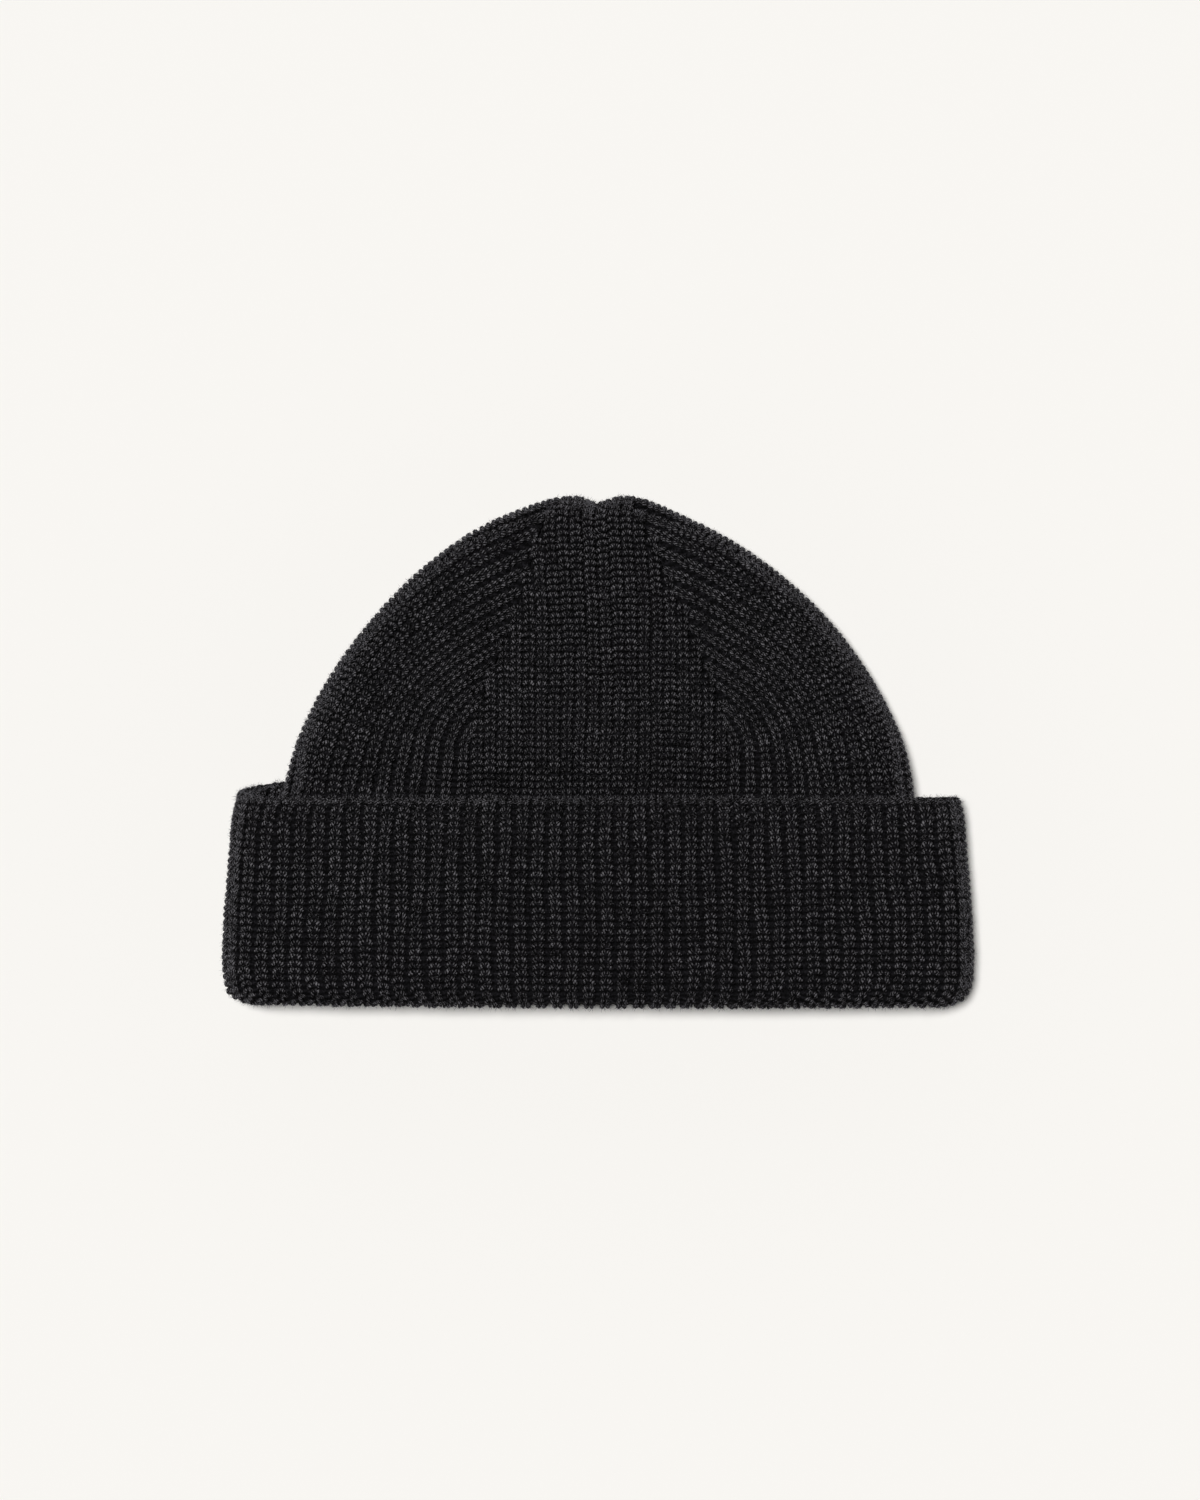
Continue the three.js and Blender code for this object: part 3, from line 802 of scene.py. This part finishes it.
def copy_nodes(name, copied, depth):
    """Puts a copy on every point, makes it real and lets it wander by a noise of this depth."""
    tree = bpy.data.node_groups.new(name, "GeometryNodeTree")
    tree.interface.new_socket("Geometry", in_out="INPUT", socket_type="NodeSocketGeometry")
    tree.interface.new_socket("Geometry", in_out="OUTPUT", socket_type="NodeSocketGeometry")
    points = add_node(tree, "NodeGroupInput")
    source = add_node(tree, "GeometryNodeObjectInfo", Object=copied)
    turn = add_node(tree, "GeometryNodeInputNamedAttribute", {"data_type": "FLOAT_VECTOR"}, Name="turn")
    size = add_node(tree, "GeometryNodeInputNamedAttribute", {"data_type": "FLOAT_VECTOR"}, Name="size")
    copies = add_node(
        tree, "GeometryNodeInstanceOnPoints", Points=points.outputs[0],
        Instance=source.outputs["Geometry"], Rotation=turn.outputs[0], Scale=size.outputs[0],
    )
    real = add_node(tree, "GeometryNodeRealizeInstances", Geometry=copies.outputs[0])
    place = add_node(tree, "GeometryNodeInputPosition")
    noise = add_node(
        tree, "ShaderNodeTexNoise",
        Vector=place.outputs[0], Scale=1 / (WOBBLE_SIZE * MM), Detail=1.0,
    )
    centred = add_node(
        tree, "ShaderNodeVectorMath", {"operation": "SUBTRACT"},
        _0=noise.outputs["Color"], _1=(0.5, 0.5, 0.5),
    )
    wobble = add_node(
        tree, "ShaderNodeVectorMath", {"operation": "SCALE"},
        _0=centred.outputs[0], Scale=2 * depth * MM,
    )
    loose = add_node(tree, "GeometryNodeSetPosition", Geometry=real.outputs[0], Offset=wobble.outputs[0])
    above_table = add_node(
        tree, "ShaderNodeVectorMath", {"operation": "MAXIMUM"},
        _0=place.outputs[0], _1=(-1, -1, FLOOR_CLEARANCE * MM),
    )
    pressed = add_node(
        tree, "GeometryNodeSetPosition", Geometry=loose.outputs[0], Position=above_table.outputs[0],
    )
    add_node(tree, "NodeGroupOutput", Geometry=pressed.outputs[0])
    return tree


stitch_tree = copy_nodes("lay_stitches", stitch, WOBBLE_DEPTH)
print("nodes that lay the stitches:", len(stitch_tree.nodes))


def turn_of(across, along, out):
    """The turn that takes X across the rib, Y along it and Z out of the fabric."""
    return Matrix((across, along, out)).transposed().to_euler()


def lay(name, tree, places):
    """Makes one mesh of copies. A place is (point in mm, turn, size, shade)."""
    mesh = bpy.data.meshes.new(name)
    mesh.from_pydata([point * MM for point, *_ in places], [], [])
    for attribute, column in (("turn", 1), ("size", 2)):
        values = np.array([place[column] for place in places], np.float32)
        layer = mesh.attributes.new(attribute, "FLOAT_VECTOR", "POINT")
        layer.data.foreach_set("vector", values.ravel())
    shades = np.array([place[3] for place in places], np.float32)
    mesh.attributes.new("shade", "FLOAT", "POINT").data.foreach_set("value", shades)
    piece = bpy.data.objects.new(name, mesh)
    bpy.context.scene.collection.objects.link(piece)
    bpy.ops.object.select_all(action="DESELECT")
    piece.select_set(True)
    bpy.context.view_layer.objects.active = piece
    piece.modifiers.new("copies", "NODES").node_group = tree
    bpy.ops.object.modifier_apply(modifier="copies")
    triangles = sum(len(face.vertices) - 2 for face in piece.data.polygons)
    print(name, len(places), "copies,", triangles, "triangles")
    return piece

# %% [markdown]
# ## The cuff's stitches
# Each stitch is turned into the frame of its place: along the rib, across it and out. The ribs
# of the outer face run round the fold into the mouth, and a few more rows lie on the cuff's
# inner face, where it shows behind the rim. Round the fold the ribs are drawn narrower.

# %% Places of the stitches
PLACE_JITTER = 0.06
OUTWARD_SHARE = 0.6
TURN_JITTER = 0.08
SIZE_JITTER = 0.07
WIDTH_POWER = 0.6
PROBE = 0.3  # mm before and after a stitch, to find which way its rib runs there
BESIDE = 0.25  # ribs to each side of it, to find how wide the rib is
# How wide and how long the stitches are pulled, beside a plain one
CUFF_SHAPE = (1.07, 1.02)
FOLD_SHAPE = (0.85, 1.02)
FRONT_SHAPE = (1.14, 0.93)
OUTLINE_SHAPE = (1.17, 0.96)
LINE_SHAPE = (0.92, 1.1)
# Painted light and shade, as tints of the stitches by place: x, y and reach in mm, and shade
PAINTED_LIGHT_AND_SHADE = [
    (0, 62, 24, 0.6),
    (-108, -45, 30, 0.4),
    (20, -50, 50, -0.9),
    (0, 0, 36, -0.4),
]
chance = random.Random(SEED)


# Painted light and shade: paler at the crown's top and the cuff's left, darker in the cuff's middle and
# on the crown just over the rim
def painted_light_and_shade(point):
    return sum(
        shade * math.exp(-((point[0] - x) ** 2 + (point[1] - y) ** 2) / reach**2)
        for x, y, reach, shade in PAINTED_LIGHT_AND_SHADE
    )


def stitch_frame(before, after, beside, out):
    """Directions of a stitch from the points before and after it, one beside it, and out."""
    along = (after - before) / np.linalg.norm(after - before)
    out = out - along * np.dot(out, along)
    out /= np.linalg.norm(out)
    across = np.cross(along, out)
    pitch = 2 * abs(np.dot(beside[1] - beside[0], across))
    return across, along, out, pitch


def stitch_place(point, across, along, out, pitch, wide, long):
    """One stitch's place, turn, size and shade, each a little off."""
    wander = [chance.gauss(0, PLACE_JITTER) for _ in range(3)]
    point = point + across * wander[0] + along * wander[1] + out * wander[2] * OUTWARD_SHARE
    lean = chance.gauss(0, TURN_JITTER)
    turned_across = across * math.cos(lean) + along * math.sin(lean)
    turned_along = along * math.cos(lean) - across * math.sin(lean)
    wide *= (pitch / STITCH_PITCH) ** WIDTH_POWER * (1 + chance.gauss(0, SIZE_JITTER))
    long *= 1 + chance.gauss(0, SIZE_JITTER)
    high = 1 + chance.gauss(0, SIZE_JITTER)
    lowest = point[2] - STITCH_SINK * max(0, -out[2])
    point = point + np.array([0, 0, max(0, FLOOR_CLEARANCE - lowest)])
    # Each stitch's shade is a random tint plus the painted light and shade of its place
    shade = chance.gauss(0, 1) + painted_light_and_shade(point)
    return point, turn_of(turned_across, turned_along, out), (wide, long, high), shade


def stitches_on_ribs(surface, ribs, lengths, shapes, extra_sink=0.0, way=1):
    """Places of the stitches along one rib. With a way of -1 they open against the lengths."""
    step = PROBE * way
    points, outs = surface(ribs, lengths, STITCH_SINK + extra_sink)
    before, _ = surface(ribs, lengths - step, STITCH_SINK)
    after, _ = surface(ribs, lengths + step, STITCH_SINK)
    left, _ = surface(ribs - BESIDE, lengths, STITCH_SINK)
    right, _ = surface(ribs + BESIDE, lengths, STITCH_SINK)
    return [
        stitch_place(point, *stitch_frame(b, a, (l, r), out), *shape)
        for point, b, a, l, r, out, shape in zip(points, before, after, left, right, outs, shapes)
    ]


def cuff_shapes(rib, lengths):
    """Round the fold the ribs are drawn tight and narrow, which scallops the cuff's lower edge."""
    from_fold = np.abs(lengths - (cuff_length(rib) - INNER_LEG - FOLD_LENGTH / 2))
    drawn = 1 - smooth_step(from_fold, FOLD_LENGTH / 2, FOLD_LENGTH / 2 + 4)[:, None]
    return np.array(CUFF_SHAPE) * (1 - drawn) + np.array(FOLD_SHAPE) * drawn


def cuff_side(rib):
    """Whether a rib of the cuff faces up or lies on the table."""
    faces_up = rib < FRONT_RIBS + SIDE_RIBS / 2 or rib > RIBS - SIDE_RIBS / 2
    return "front" if faces_up else "back"


cuff_stitches = {"front": [], "back": []}
for rib in np.arange(RIBS) + 0.5:
    start = -RIM_LENGTH / 4
    whole = float(cuff_length(rib)) - start
    count = int(whole / COURSE)
    lengths = start + (np.arange(count) + 0.5) * whole / count
    shapes = cuff_shapes(rib, lengths)
    cuff_stitches[cuff_side(rib)] += stitches_on_ribs(
        cuff_surface, np.full(count, rib), lengths, shapes,
    )

# The same rib fabric on the cuff's inner face, as deep as it shows behind the rim
INNER_ROWS = 4
for rib in np.arange(RIBS, dtype=float):
    lengths = -RIM_LENGTH / 2 - (np.arange(INNER_ROWS) + 0.5) * COURSE
    cuff_stitches[cuff_side(rib)] += stitches_on_ribs(
        cuff_surface, np.full(INNER_ROWS, rib), lengths, [CUFF_SHAPE] * INNER_ROWS,
    )
print("stitches on the cuff's ribs:", {half: len(places) for half, places in cuff_stitches.items()})

# %% [markdown]
# ## The rim
# A knit would run if its last row weren't bound off, which leaves a chain of stitches that
# follow one another along the edge. The same stitch makes it, turned to lie along the rim, in
# two rows that cover the ends of the ribs. Their colour is painted a little darker, as painted
# shade.

# %% The bound-off rim
CHAIN_PLACES = (-0.3 * RIM_LENGTH, -0.68 * RIM_LENGTH)
CHAIN_PER_RIB = 2
CHAIN_PROBE = 0.1
CHAIN_SINK = 0.85
CHAIN_SHAPE = (0.8, 1.24)
# Painted shade: how much darker the rim's chain is tinted
CHAIN_PAINTED_SHADE = -1.6
for length in CHAIN_PLACES:
    ribs = (np.arange(CHAIN_PER_RIB * RIBS) + 0.5) / CHAIN_PER_RIB
    lengths = np.full(len(ribs), length)
    points, outs = cuff_surface(ribs, lengths, CHAIN_SINK)
    before, _ = cuff_surface(ribs - CHAIN_PROBE, lengths, CHAIN_SINK)
    after, _ = cuff_surface(ribs + CHAIN_PROBE, lengths, CHAIN_SINK)
    for rib, point, b, a, out in zip(ribs, points, before, after, outs):
        across, along, out, _ = stitch_frame(b, a, (b, a), out)
        *place, shade = stitch_place(point, across, along, out, STITCH_PITCH, *CHAIN_SHAPE)
        cuff_stitches[cuff_side(rib)].append((*place, shade + CHAIN_PAINTED_SHADE))

cuff_front = lay("cuff_stitches_front", stitch_tree, cuff_stitches["front"])
cuff_back = lay("cuff_stitches_back", stitch_tree, cuff_stitches["back"])

# %% [markdown]
# ## The crown's stitches
# A rib of the crown ends on a shaping line or at the closing seam, and its stitches are spaced
# evenly along the way it really runs. The small arches in the picture open downwards on both
# pieces, so here the stitches open against the height. The side gores' ribs crowd together at
# their line, where the stitches are drawn narrow and long, and lie open at the outline.

# %% Crown stitches
BELOW_RIM = {"front": 5, "back": 5, "left": 9, "right": 9}
LINE_MARGIN = {"front": -0.3, "back": -0.3, "left": -0.15, "right": -0.15}
RIB_SAMPLES = 500
DRAWN_FROM_MIDDLE = (0.3, 0.8)


def crown_shapes(gore, ribs, heights):
    """The side gores' stitches lie open at the outline and are drawn together at the line."""
    if gore in ("front", "back"):
        return [FRONT_SHAPE] * len(heights)
    drawn = smooth_step(np.abs(ribs) / ribs_left(gore, heights), *DRAWN_FROM_MIDDLE)[:, None]
    return np.array(OUTLINE_SHAPE) * (1 - drawn) + np.array(LINE_SHAPE) * drawn


def crown_rib(gore, ribs):
    """Heights of the stitches up one rib, a course apart along it, until a shaping line ends it."""
    heights = np.linspace(-BELOW_RIM[gore], CROWN_LENGTH, RIB_SAMPLES)
    heights = heights[np.abs(ribs) < ribs_left(gore, heights) - LINE_MARGIN[gore]]
    points, _ = crown_surface(gore, np.full(len(heights), ribs), heights, STITCH_SINK)
    lengths = np.concatenate([[0], np.cumsum(np.linalg.norm(np.diff(points, axis=0), axis=1))])
    count = int(lengths[-1] / COURSE)
    course = COURSE
    if heights[-1] > CROWN_LENGTH - COURSE:
        count = round(lengths[-1] / COURSE)
        course = lengths[-1] / count
    return np.interp((np.arange(count) + 0.5) * course, lengths, heights)


crown_stitches = {"front": [], "back": []}
for gore, count in GORES.items():
    for ribs in np.arange(count) + 0.5 - count / 2:
        heights = crown_rib(gore, ribs)
        rib = np.full(len(heights), ribs)
        half = "back" if is_under(gore, ribs) else "front"
        _, out = crown_surface(gore, rib, heights)
        deeper = crease(gore, rib, heights, out) + tuck(heights, out)
        shapes = crown_shapes(gore, rib, heights)
        crown_stitches[half] += stitches_on_ribs(
            partial(crown_surface, gore), rib, heights, shapes, deeper, way=-1,
        )

crown_front = lay("crown_stitches_front", stitch_tree, crown_stitches["front"])
crown_back = lay("crown_stitches_back", stitch_tree, crown_stitches["back"])
bpy.data.objects.remove(stitch)

# %% [markdown]
# ## Fuzz
# Worn or not, wool has a thin halo of fibre ends. Seen from the front they hardly cover the
# yarn, but along the outline one looks through many of them, and the edge turns pale and
# soft. A particle system couldn't be exported, so one bent fibre is modelled and copied to
# places near the stitches, each leaning its own way. On the outline they lie nearly flat, or
# the edge would look hairy, and at two tufts the wool is roughed up. A real fibre is 0.03 mm
# thick. These are two to four times that at their root, because finer ones wouldn't show.

# %% One fibre
FIBRE = [
    # bend to the side, height along the fibre, radius; lengths as shares of the fibre's length
    (0.00, 0.00, 0.034),
    (0.12, 0.50, 0.026),
    (0.40, 0.92, 0.003),
]


def fuzz_fibre():
    bpy.ops.object.select_all(action="DESELECT")
    bpy.ops.mesh.primitive_circle_add(vertices=3, radius=FIBRE[0][2] * MM, fill_type="NGON")
    made = bpy.context.object
    bpy.ops.object.mode_set(mode="EDIT")
    bpy.ops.mesh.select_all(action="SELECT")
    for here, there in zip(FIBRE, FIBRE[1:]):
        step = ((there[0] - here[0]) * MM, 0, (there[1] - here[1]) * MM)
        bpy.ops.mesh.extrude_region_move(TRANSFORM_OT_translate={"value": step})
        grow = there[2] / here[2]
        bpy.ops.transform.resize(value=(grow, grow, grow))
    bpy.ops.mesh.merge(type="CENTER")
    bpy.ops.mesh.select_all(action="SELECT")
    bpy.ops.mesh.normals_make_consistent(inside=False)
    bpy.ops.object.mode_set(mode="OBJECT")
    made.name = "fibre"
    return made


fibre = fuzz_fibre()
fibre_tree = copy_nodes("lay_fibres", fibre, 0.0)
print("one fibre has", len(fibre.data.polygons), "faces")

# %% Places of the fibres
FIBRES_ON_TOP = 2.4
FIBRES_ON_EDGE = 18.0
FIBRES_BELOW = 0.6
FIBRE_ROOT = 0.35
FIBRE_SPREAD = (1.7, 1.0)
FIBRE_LENGTH = (0.8, 1.9)
FIBRE_RISE = (math.radians(35), math.radians(88))
FIBRE_RISE_ON_EDGE = (math.radians(5), math.radians(42))
# Where the wool is roughed up: x, y and reach in mm, fibres on each stitch and times as long
CROWN_TUFT = (-2, 76, 3.5, 10, 1.3)
CUFF_TUFT = (-102, -11, 8, 5, 1.2)


def fibre_place(point, turn, edge, longer=1):
    """A fibre that stands out of a stitch at a random place and lean."""
    across, along, out = (np.array(row) for row in turn.to_matrix().transposed())
    spread_across, spread_along = (chance.uniform(-spread, spread) for spread in FIBRE_SPREAD)
    root = point + across * spread_across + along * spread_along + out * FIBRE_ROOT
    rise = chance.uniform(*(FIBRE_RISE_ON_EDGE if chance.random() < edge else FIBRE_RISE))
    way = chance.uniform(0, 2 * math.pi)
    flat = across * math.cos(way) + along * math.sin(way)
    axis = out * math.sin(rise) + flat * math.cos(rise)
    anywhere = across * chance.gauss(0, 1) + along * chance.gauss(0, 1) + out * chance.gauss(0, 1)
    bend = np.cross(axis, anywhere)
    bend /= np.linalg.norm(bend)
    length = chance.uniform(*FIBRE_LENGTH) * longer
    tip = root[2] + axis[2] * length
    root = root + np.array([0, 0, max(0, FLOOR_CLEARANCE - min(root[2], tip))])
    return root, turn_of(bend, np.cross(axis, bend), axis), (length, 1, length), chance.gauss(0, 1)


def fuzz(name, stitches, along_share, tilt_range, tuft):
    """Fibres on the stitches, more of them where the fabric turns down towards the outline."""
    places = []
    tuft_x, tuft_y, reach, tuft_count, longer = tuft
    for point, turn, _, _ in stitches:
        x, y, z = (row[2] for row in turn.to_matrix())
        edge = smooth_step(math.hypot(x, y * along_share), *tilt_range)
        share = FIBRES_ON_TOP + (FIBRES_ON_EDGE - FIBRES_ON_TOP) * edge
        share = FIBRES_BELOW + (share - FIBRES_BELOW) * smooth_step(z, -0.5, 0)
        count = int(share + chance.random())
        places += [fibre_place(point, turn, edge) for _ in range(count)]
        if z > -0.3 and math.hypot(point[0] - tuft_x, point[1] - tuft_y) < reach:
            places += [fibre_place(point, turn, edge, longer) for _ in range(tuft_count)]
    return lay(name, fibre_tree, places)


all_cuff_stitches = cuff_stitches["front"] + cuff_stitches["back"]
all_crown_stitches = crown_stitches["front"] + crown_stitches["back"]
cuff_fuzz = fuzz("cuff_fuzz", all_cuff_stitches, 0.6, (0.35, 0.75), CUFF_TUFT)
crown_fuzz = fuzz("crown_fuzz", all_crown_stitches, 1.0, (0.2, 0.75), CROWN_TUFT)
bpy.data.objects.remove(fibre)

# %% [markdown]
# ## Wool
# The yarn is carded sheep's wool, dyed charcoal black and loosely spun from a few plies. It
# has almost no gloss: each ply catches a pale streak and falls off to black beside it, and its
# fine fibres catch light that grazes them, which is the sheen. The streaks are painted
# highlights: a wave in the colour on the UV map of each leg, which is also its bump. Where a
# leg dives under the next stitch, its colour is painted black, as painted shade. Real plies are
# about 0.5 mm wide and would blur to one grey in the picture, so they are drawn twice as
# coarse, and the flecks stand for clumps of fibres.

# %% Wool
FLECK_SIZE = 0.55
SHADE_DEPTH = 0.14
PLIES = 4
PLY_TURNS = 2.9
PLY_SLIP = 0.12
PLY_WANDER = 1.3
PLY_LIT = (-0.45, 0.95)
YARN_FLECKS = (0.28, 0.65)
LOOSE_FLECKS = (0.35, 0.70)
# Painted shade where a leg dives: distances from the leg's middle, as shares of its length, where it
# starts and where it is black
DIVE_SHADE_START = 0.11
DIVE_SHADE_END = 0.37

MULTIPLY = {"operation": "MULTIPLY"}
MULTIPLY_ADD = {"operation": "MULTIPLY_ADD"}
SUBTRACT = {"operation": "SUBTRACT"}
ABSOLUTE = {"operation": "ABSOLUTE"}
SINE = {"operation": "SINE"}


def wool_tone(tree, low, high):
    """Flecks of single fibres and a shade for each stitch, from 0, dark, to 1, light. The
    stitch's shade is a random tint plus painted light and shade at a few places.
    """
    place = add_node(tree, "ShaderNodeTexCoord")
    shade = add_node(tree, "ShaderNodeAttribute", {"attribute_name": "shade"})
    flecks = add_node(
        tree, "ShaderNodeTexNoise",
        Vector=place.outputs["Object"], Scale=1 / (FLECK_SIZE * MM), Detail=2.0,
    )
    fibres = add_node(tree, "ShaderNodeMapRange", _0=flecks.outputs[0], _1=low, _2=high)
    tone = add_node(
        tree, "ShaderNodeMath", MULTIPLY_ADD,
        _0=shade.outputs["Fac"], _1=SHADE_DEPTH, _2=fibres.outputs[0],
    )
    return tone.outputs[0], flecks.outputs[0]


def knit_map(tree):
    """The two directions of a piece's UV map."""
    knit = add_node(tree, "ShaderNodeAttribute", {"attribute_name": "UVMap"})
    place = add_node(tree, "ShaderNodeSeparateXYZ", Vector=knit.outputs["Vector"])
    return place.outputs[0], place.outputs[1]


def wool_surface(tree, tone, height, dark, light, sheen):
    mix = add_node(
        tree, "ShaderNodeMix", {"data_type": "RGBA"}, _0=tone, _6=rgba(dark), _7=rgba(light),
    )
    bump = add_node(tree, "ShaderNodeBump", Strength=0.8, Distance=0.3 * MM, Height=height)
    surface = add_node(
        tree, "ShaderNodeBsdfPrincipled", Base_Color=mix.outputs[2], Roughness=0.9,
        Specular_IOR_Level=0.05, Sheen_Weight=sheen, Sheen_Roughness=0.35,
        Sheen_Tint=rgba("#cecacf"), Normal=bump.outputs[0],
    )
    add_node(tree, "ShaderNodeOutputMaterial", Surface=surface.outputs[0])


def fuzz_wool(name, dark, light, sheen):
    material, tree = new_material(name)
    tone, flecks = wool_tone(tree, *LOOSE_FLECKS)
    wool_surface(tree, tone, flecks, dark, light, sheen)
    return material


def purl_wool(name, dark, light, sheen):
    """The sunken purl columns: a low bump for each course, along the second map direction. Its
    colour is painted lighter on top of each bump and darker between, as painted light and shade.
    """
    material, tree = new_material(name)
    tone, flecks = wool_tone(tree, *LOOSE_FLECKS)
    ribs, courses = knit_map(tree)
    turn = add_node(tree, "ShaderNodeMath", MULTIPLY, _0=courses, _1=2 * math.pi)
    bumps = add_node(tree, "ShaderNodeMath", SINE, _0=turn.outputs[0])
    raised_and_painted_light = add_node(tree, "ShaderNodeMapRange", _0=bumps.outputs[0], _1=-1.6, _2=1.0)
    lit = add_node(tree, "ShaderNodeMath", MULTIPLY, _0=tone, _1=raised_and_painted_light.outputs[0])
    height = add_node(tree, "ShaderNodeMath", MULTIPLY_ADD, _0=flecks, _1=0.5, _2=raised_and_painted_light.outputs[0])
    wool_surface(tree, lit.outputs[0], height.outputs[0], dark, light, sheen)
    return material


def plied_wool(name, dark, light, sheen):
    """Yarn whose plies wind round it: a wave on the UV map of each leg of a stitch, whose pale
    tops are painted highlights. Where the leg dives under the next stitch, its colour is painted
    darker, as painted shade."""
    material, tree = new_material(name)
    tone, flecks = wool_tone(tree, *YARN_FLECKS)
    around, along = knit_map(tree)
    shade = add_node(tree, "ShaderNodeAttribute", {"attribute_name": "shade"})
    slip = add_node(tree, "ShaderNodeMath", MULTIPLY, _0=shade.outputs["Fac"], _1=PLY_SLIP)
    slip = add_node(tree, "ShaderNodeMath", MULTIPLY_ADD, _0=flecks, _1=PLY_WANDER, _2=slip.outputs[0])
    turns = add_node(
        tree, "ShaderNodeMath", MULTIPLY_ADD, _0=around, _1=float(PLIES), _2=slip.outputs[0],
    )
    turns = add_node(
        tree, "ShaderNodeMath", MULTIPLY_ADD, _0=along, _1=PLY_TURNS, _2=turns.outputs[0],
    )
    turns = add_node(tree, "ShaderNodeMath", MULTIPLY, _0=turns.outputs[0], _1=2 * math.pi)
    wave = add_node(tree, "ShaderNodeMath", SINE, _0=turns.outputs[0])
    ply = add_node(tree, "ShaderNodeMapRange", _0=wave.outputs[0], _1=PLY_LIT[0], _2=PLY_LIT[1])
    from_middle = add_node(tree, "ShaderNodeMath", SUBTRACT, _0=along, _1=0.5)
    from_middle = add_node(tree, "ShaderNodeMath", ABSOLUTE, _0=from_middle.outputs[0])
    shown = add_node(
        tree, "ShaderNodeMapRange", {"interpolation_type": "SMOOTHSTEP"},
        _0=from_middle.outputs[0], _1=DIVE_SHADE_END, _2=DIVE_SHADE_START,
    )
    # The colour: tone, times the painted highlights of the plies and the painted shade of the dive
    lit = add_node(tree, "ShaderNodeMath", MULTIPLY, _0=tone, _1=ply.outputs[0])
    lit = add_node(tree, "ShaderNodeMath", MULTIPLY, _0=lit.outputs[0], _1=shown.outputs[0])
    height = add_node(tree, "ShaderNodeMath", MULTIPLY_ADD, _0=flecks, _1=0.6, _2=ply.outputs[0])
    wool_surface(tree, lit.outputs[0], height.outputs[0], dark, light, sheen)
    return material


# The yarn on top: painted highlights, pale streaks that wind round each leg, and painted shade, black,
# where it dives
yarn = plied_wool("charcoal_plied_wool", "#020202", "#777579", 0.07)
# The same wool down in the grooves, painted nearly black as painted shade, with a low bump for each
# course whose top is painted lighter
ground = purl_wool("charcoal_wool_purl", "#020202", "#212023", 0.04)
# Loose fibre ends: their colour is painted paler, as painted light for the light that gets through them
fluff = fuzz_wool("charcoal_wool_fuzz", "#424145", "#88878c", 0.2)
print("materials:", [material.name for material in (yarn, ground, fluff)])

# %% [markdown]
# ## Finish
# Each piece gets its wool and moves with the hat's one body. The two fabrics stand in the
# picture for the imported solids.

# %% Finish the pieces
for piece in (cuff_front, cuff_back, crown_front, crown_back):
    piece.data.materials.clear()
    piece.data.materials.append(yarn)
for piece in (cuff_fabric, crown_fabric):
    piece.data.materials.clear()
    piece.data.materials.append(ground)
for piece in (cuff_fuzz, crown_fuzz):
    piece.data.materials.clear()
    piece.data.materials.append(fluff)

for piece in (cuff_fabric, cuff_front, cuff_back, cuff_fuzz):
    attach(piece, "root")
for piece in (crown_fabric, crown_front, crown_back, crown_fuzz):
    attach(piece, "root")
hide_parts("cuff")
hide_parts("crown")
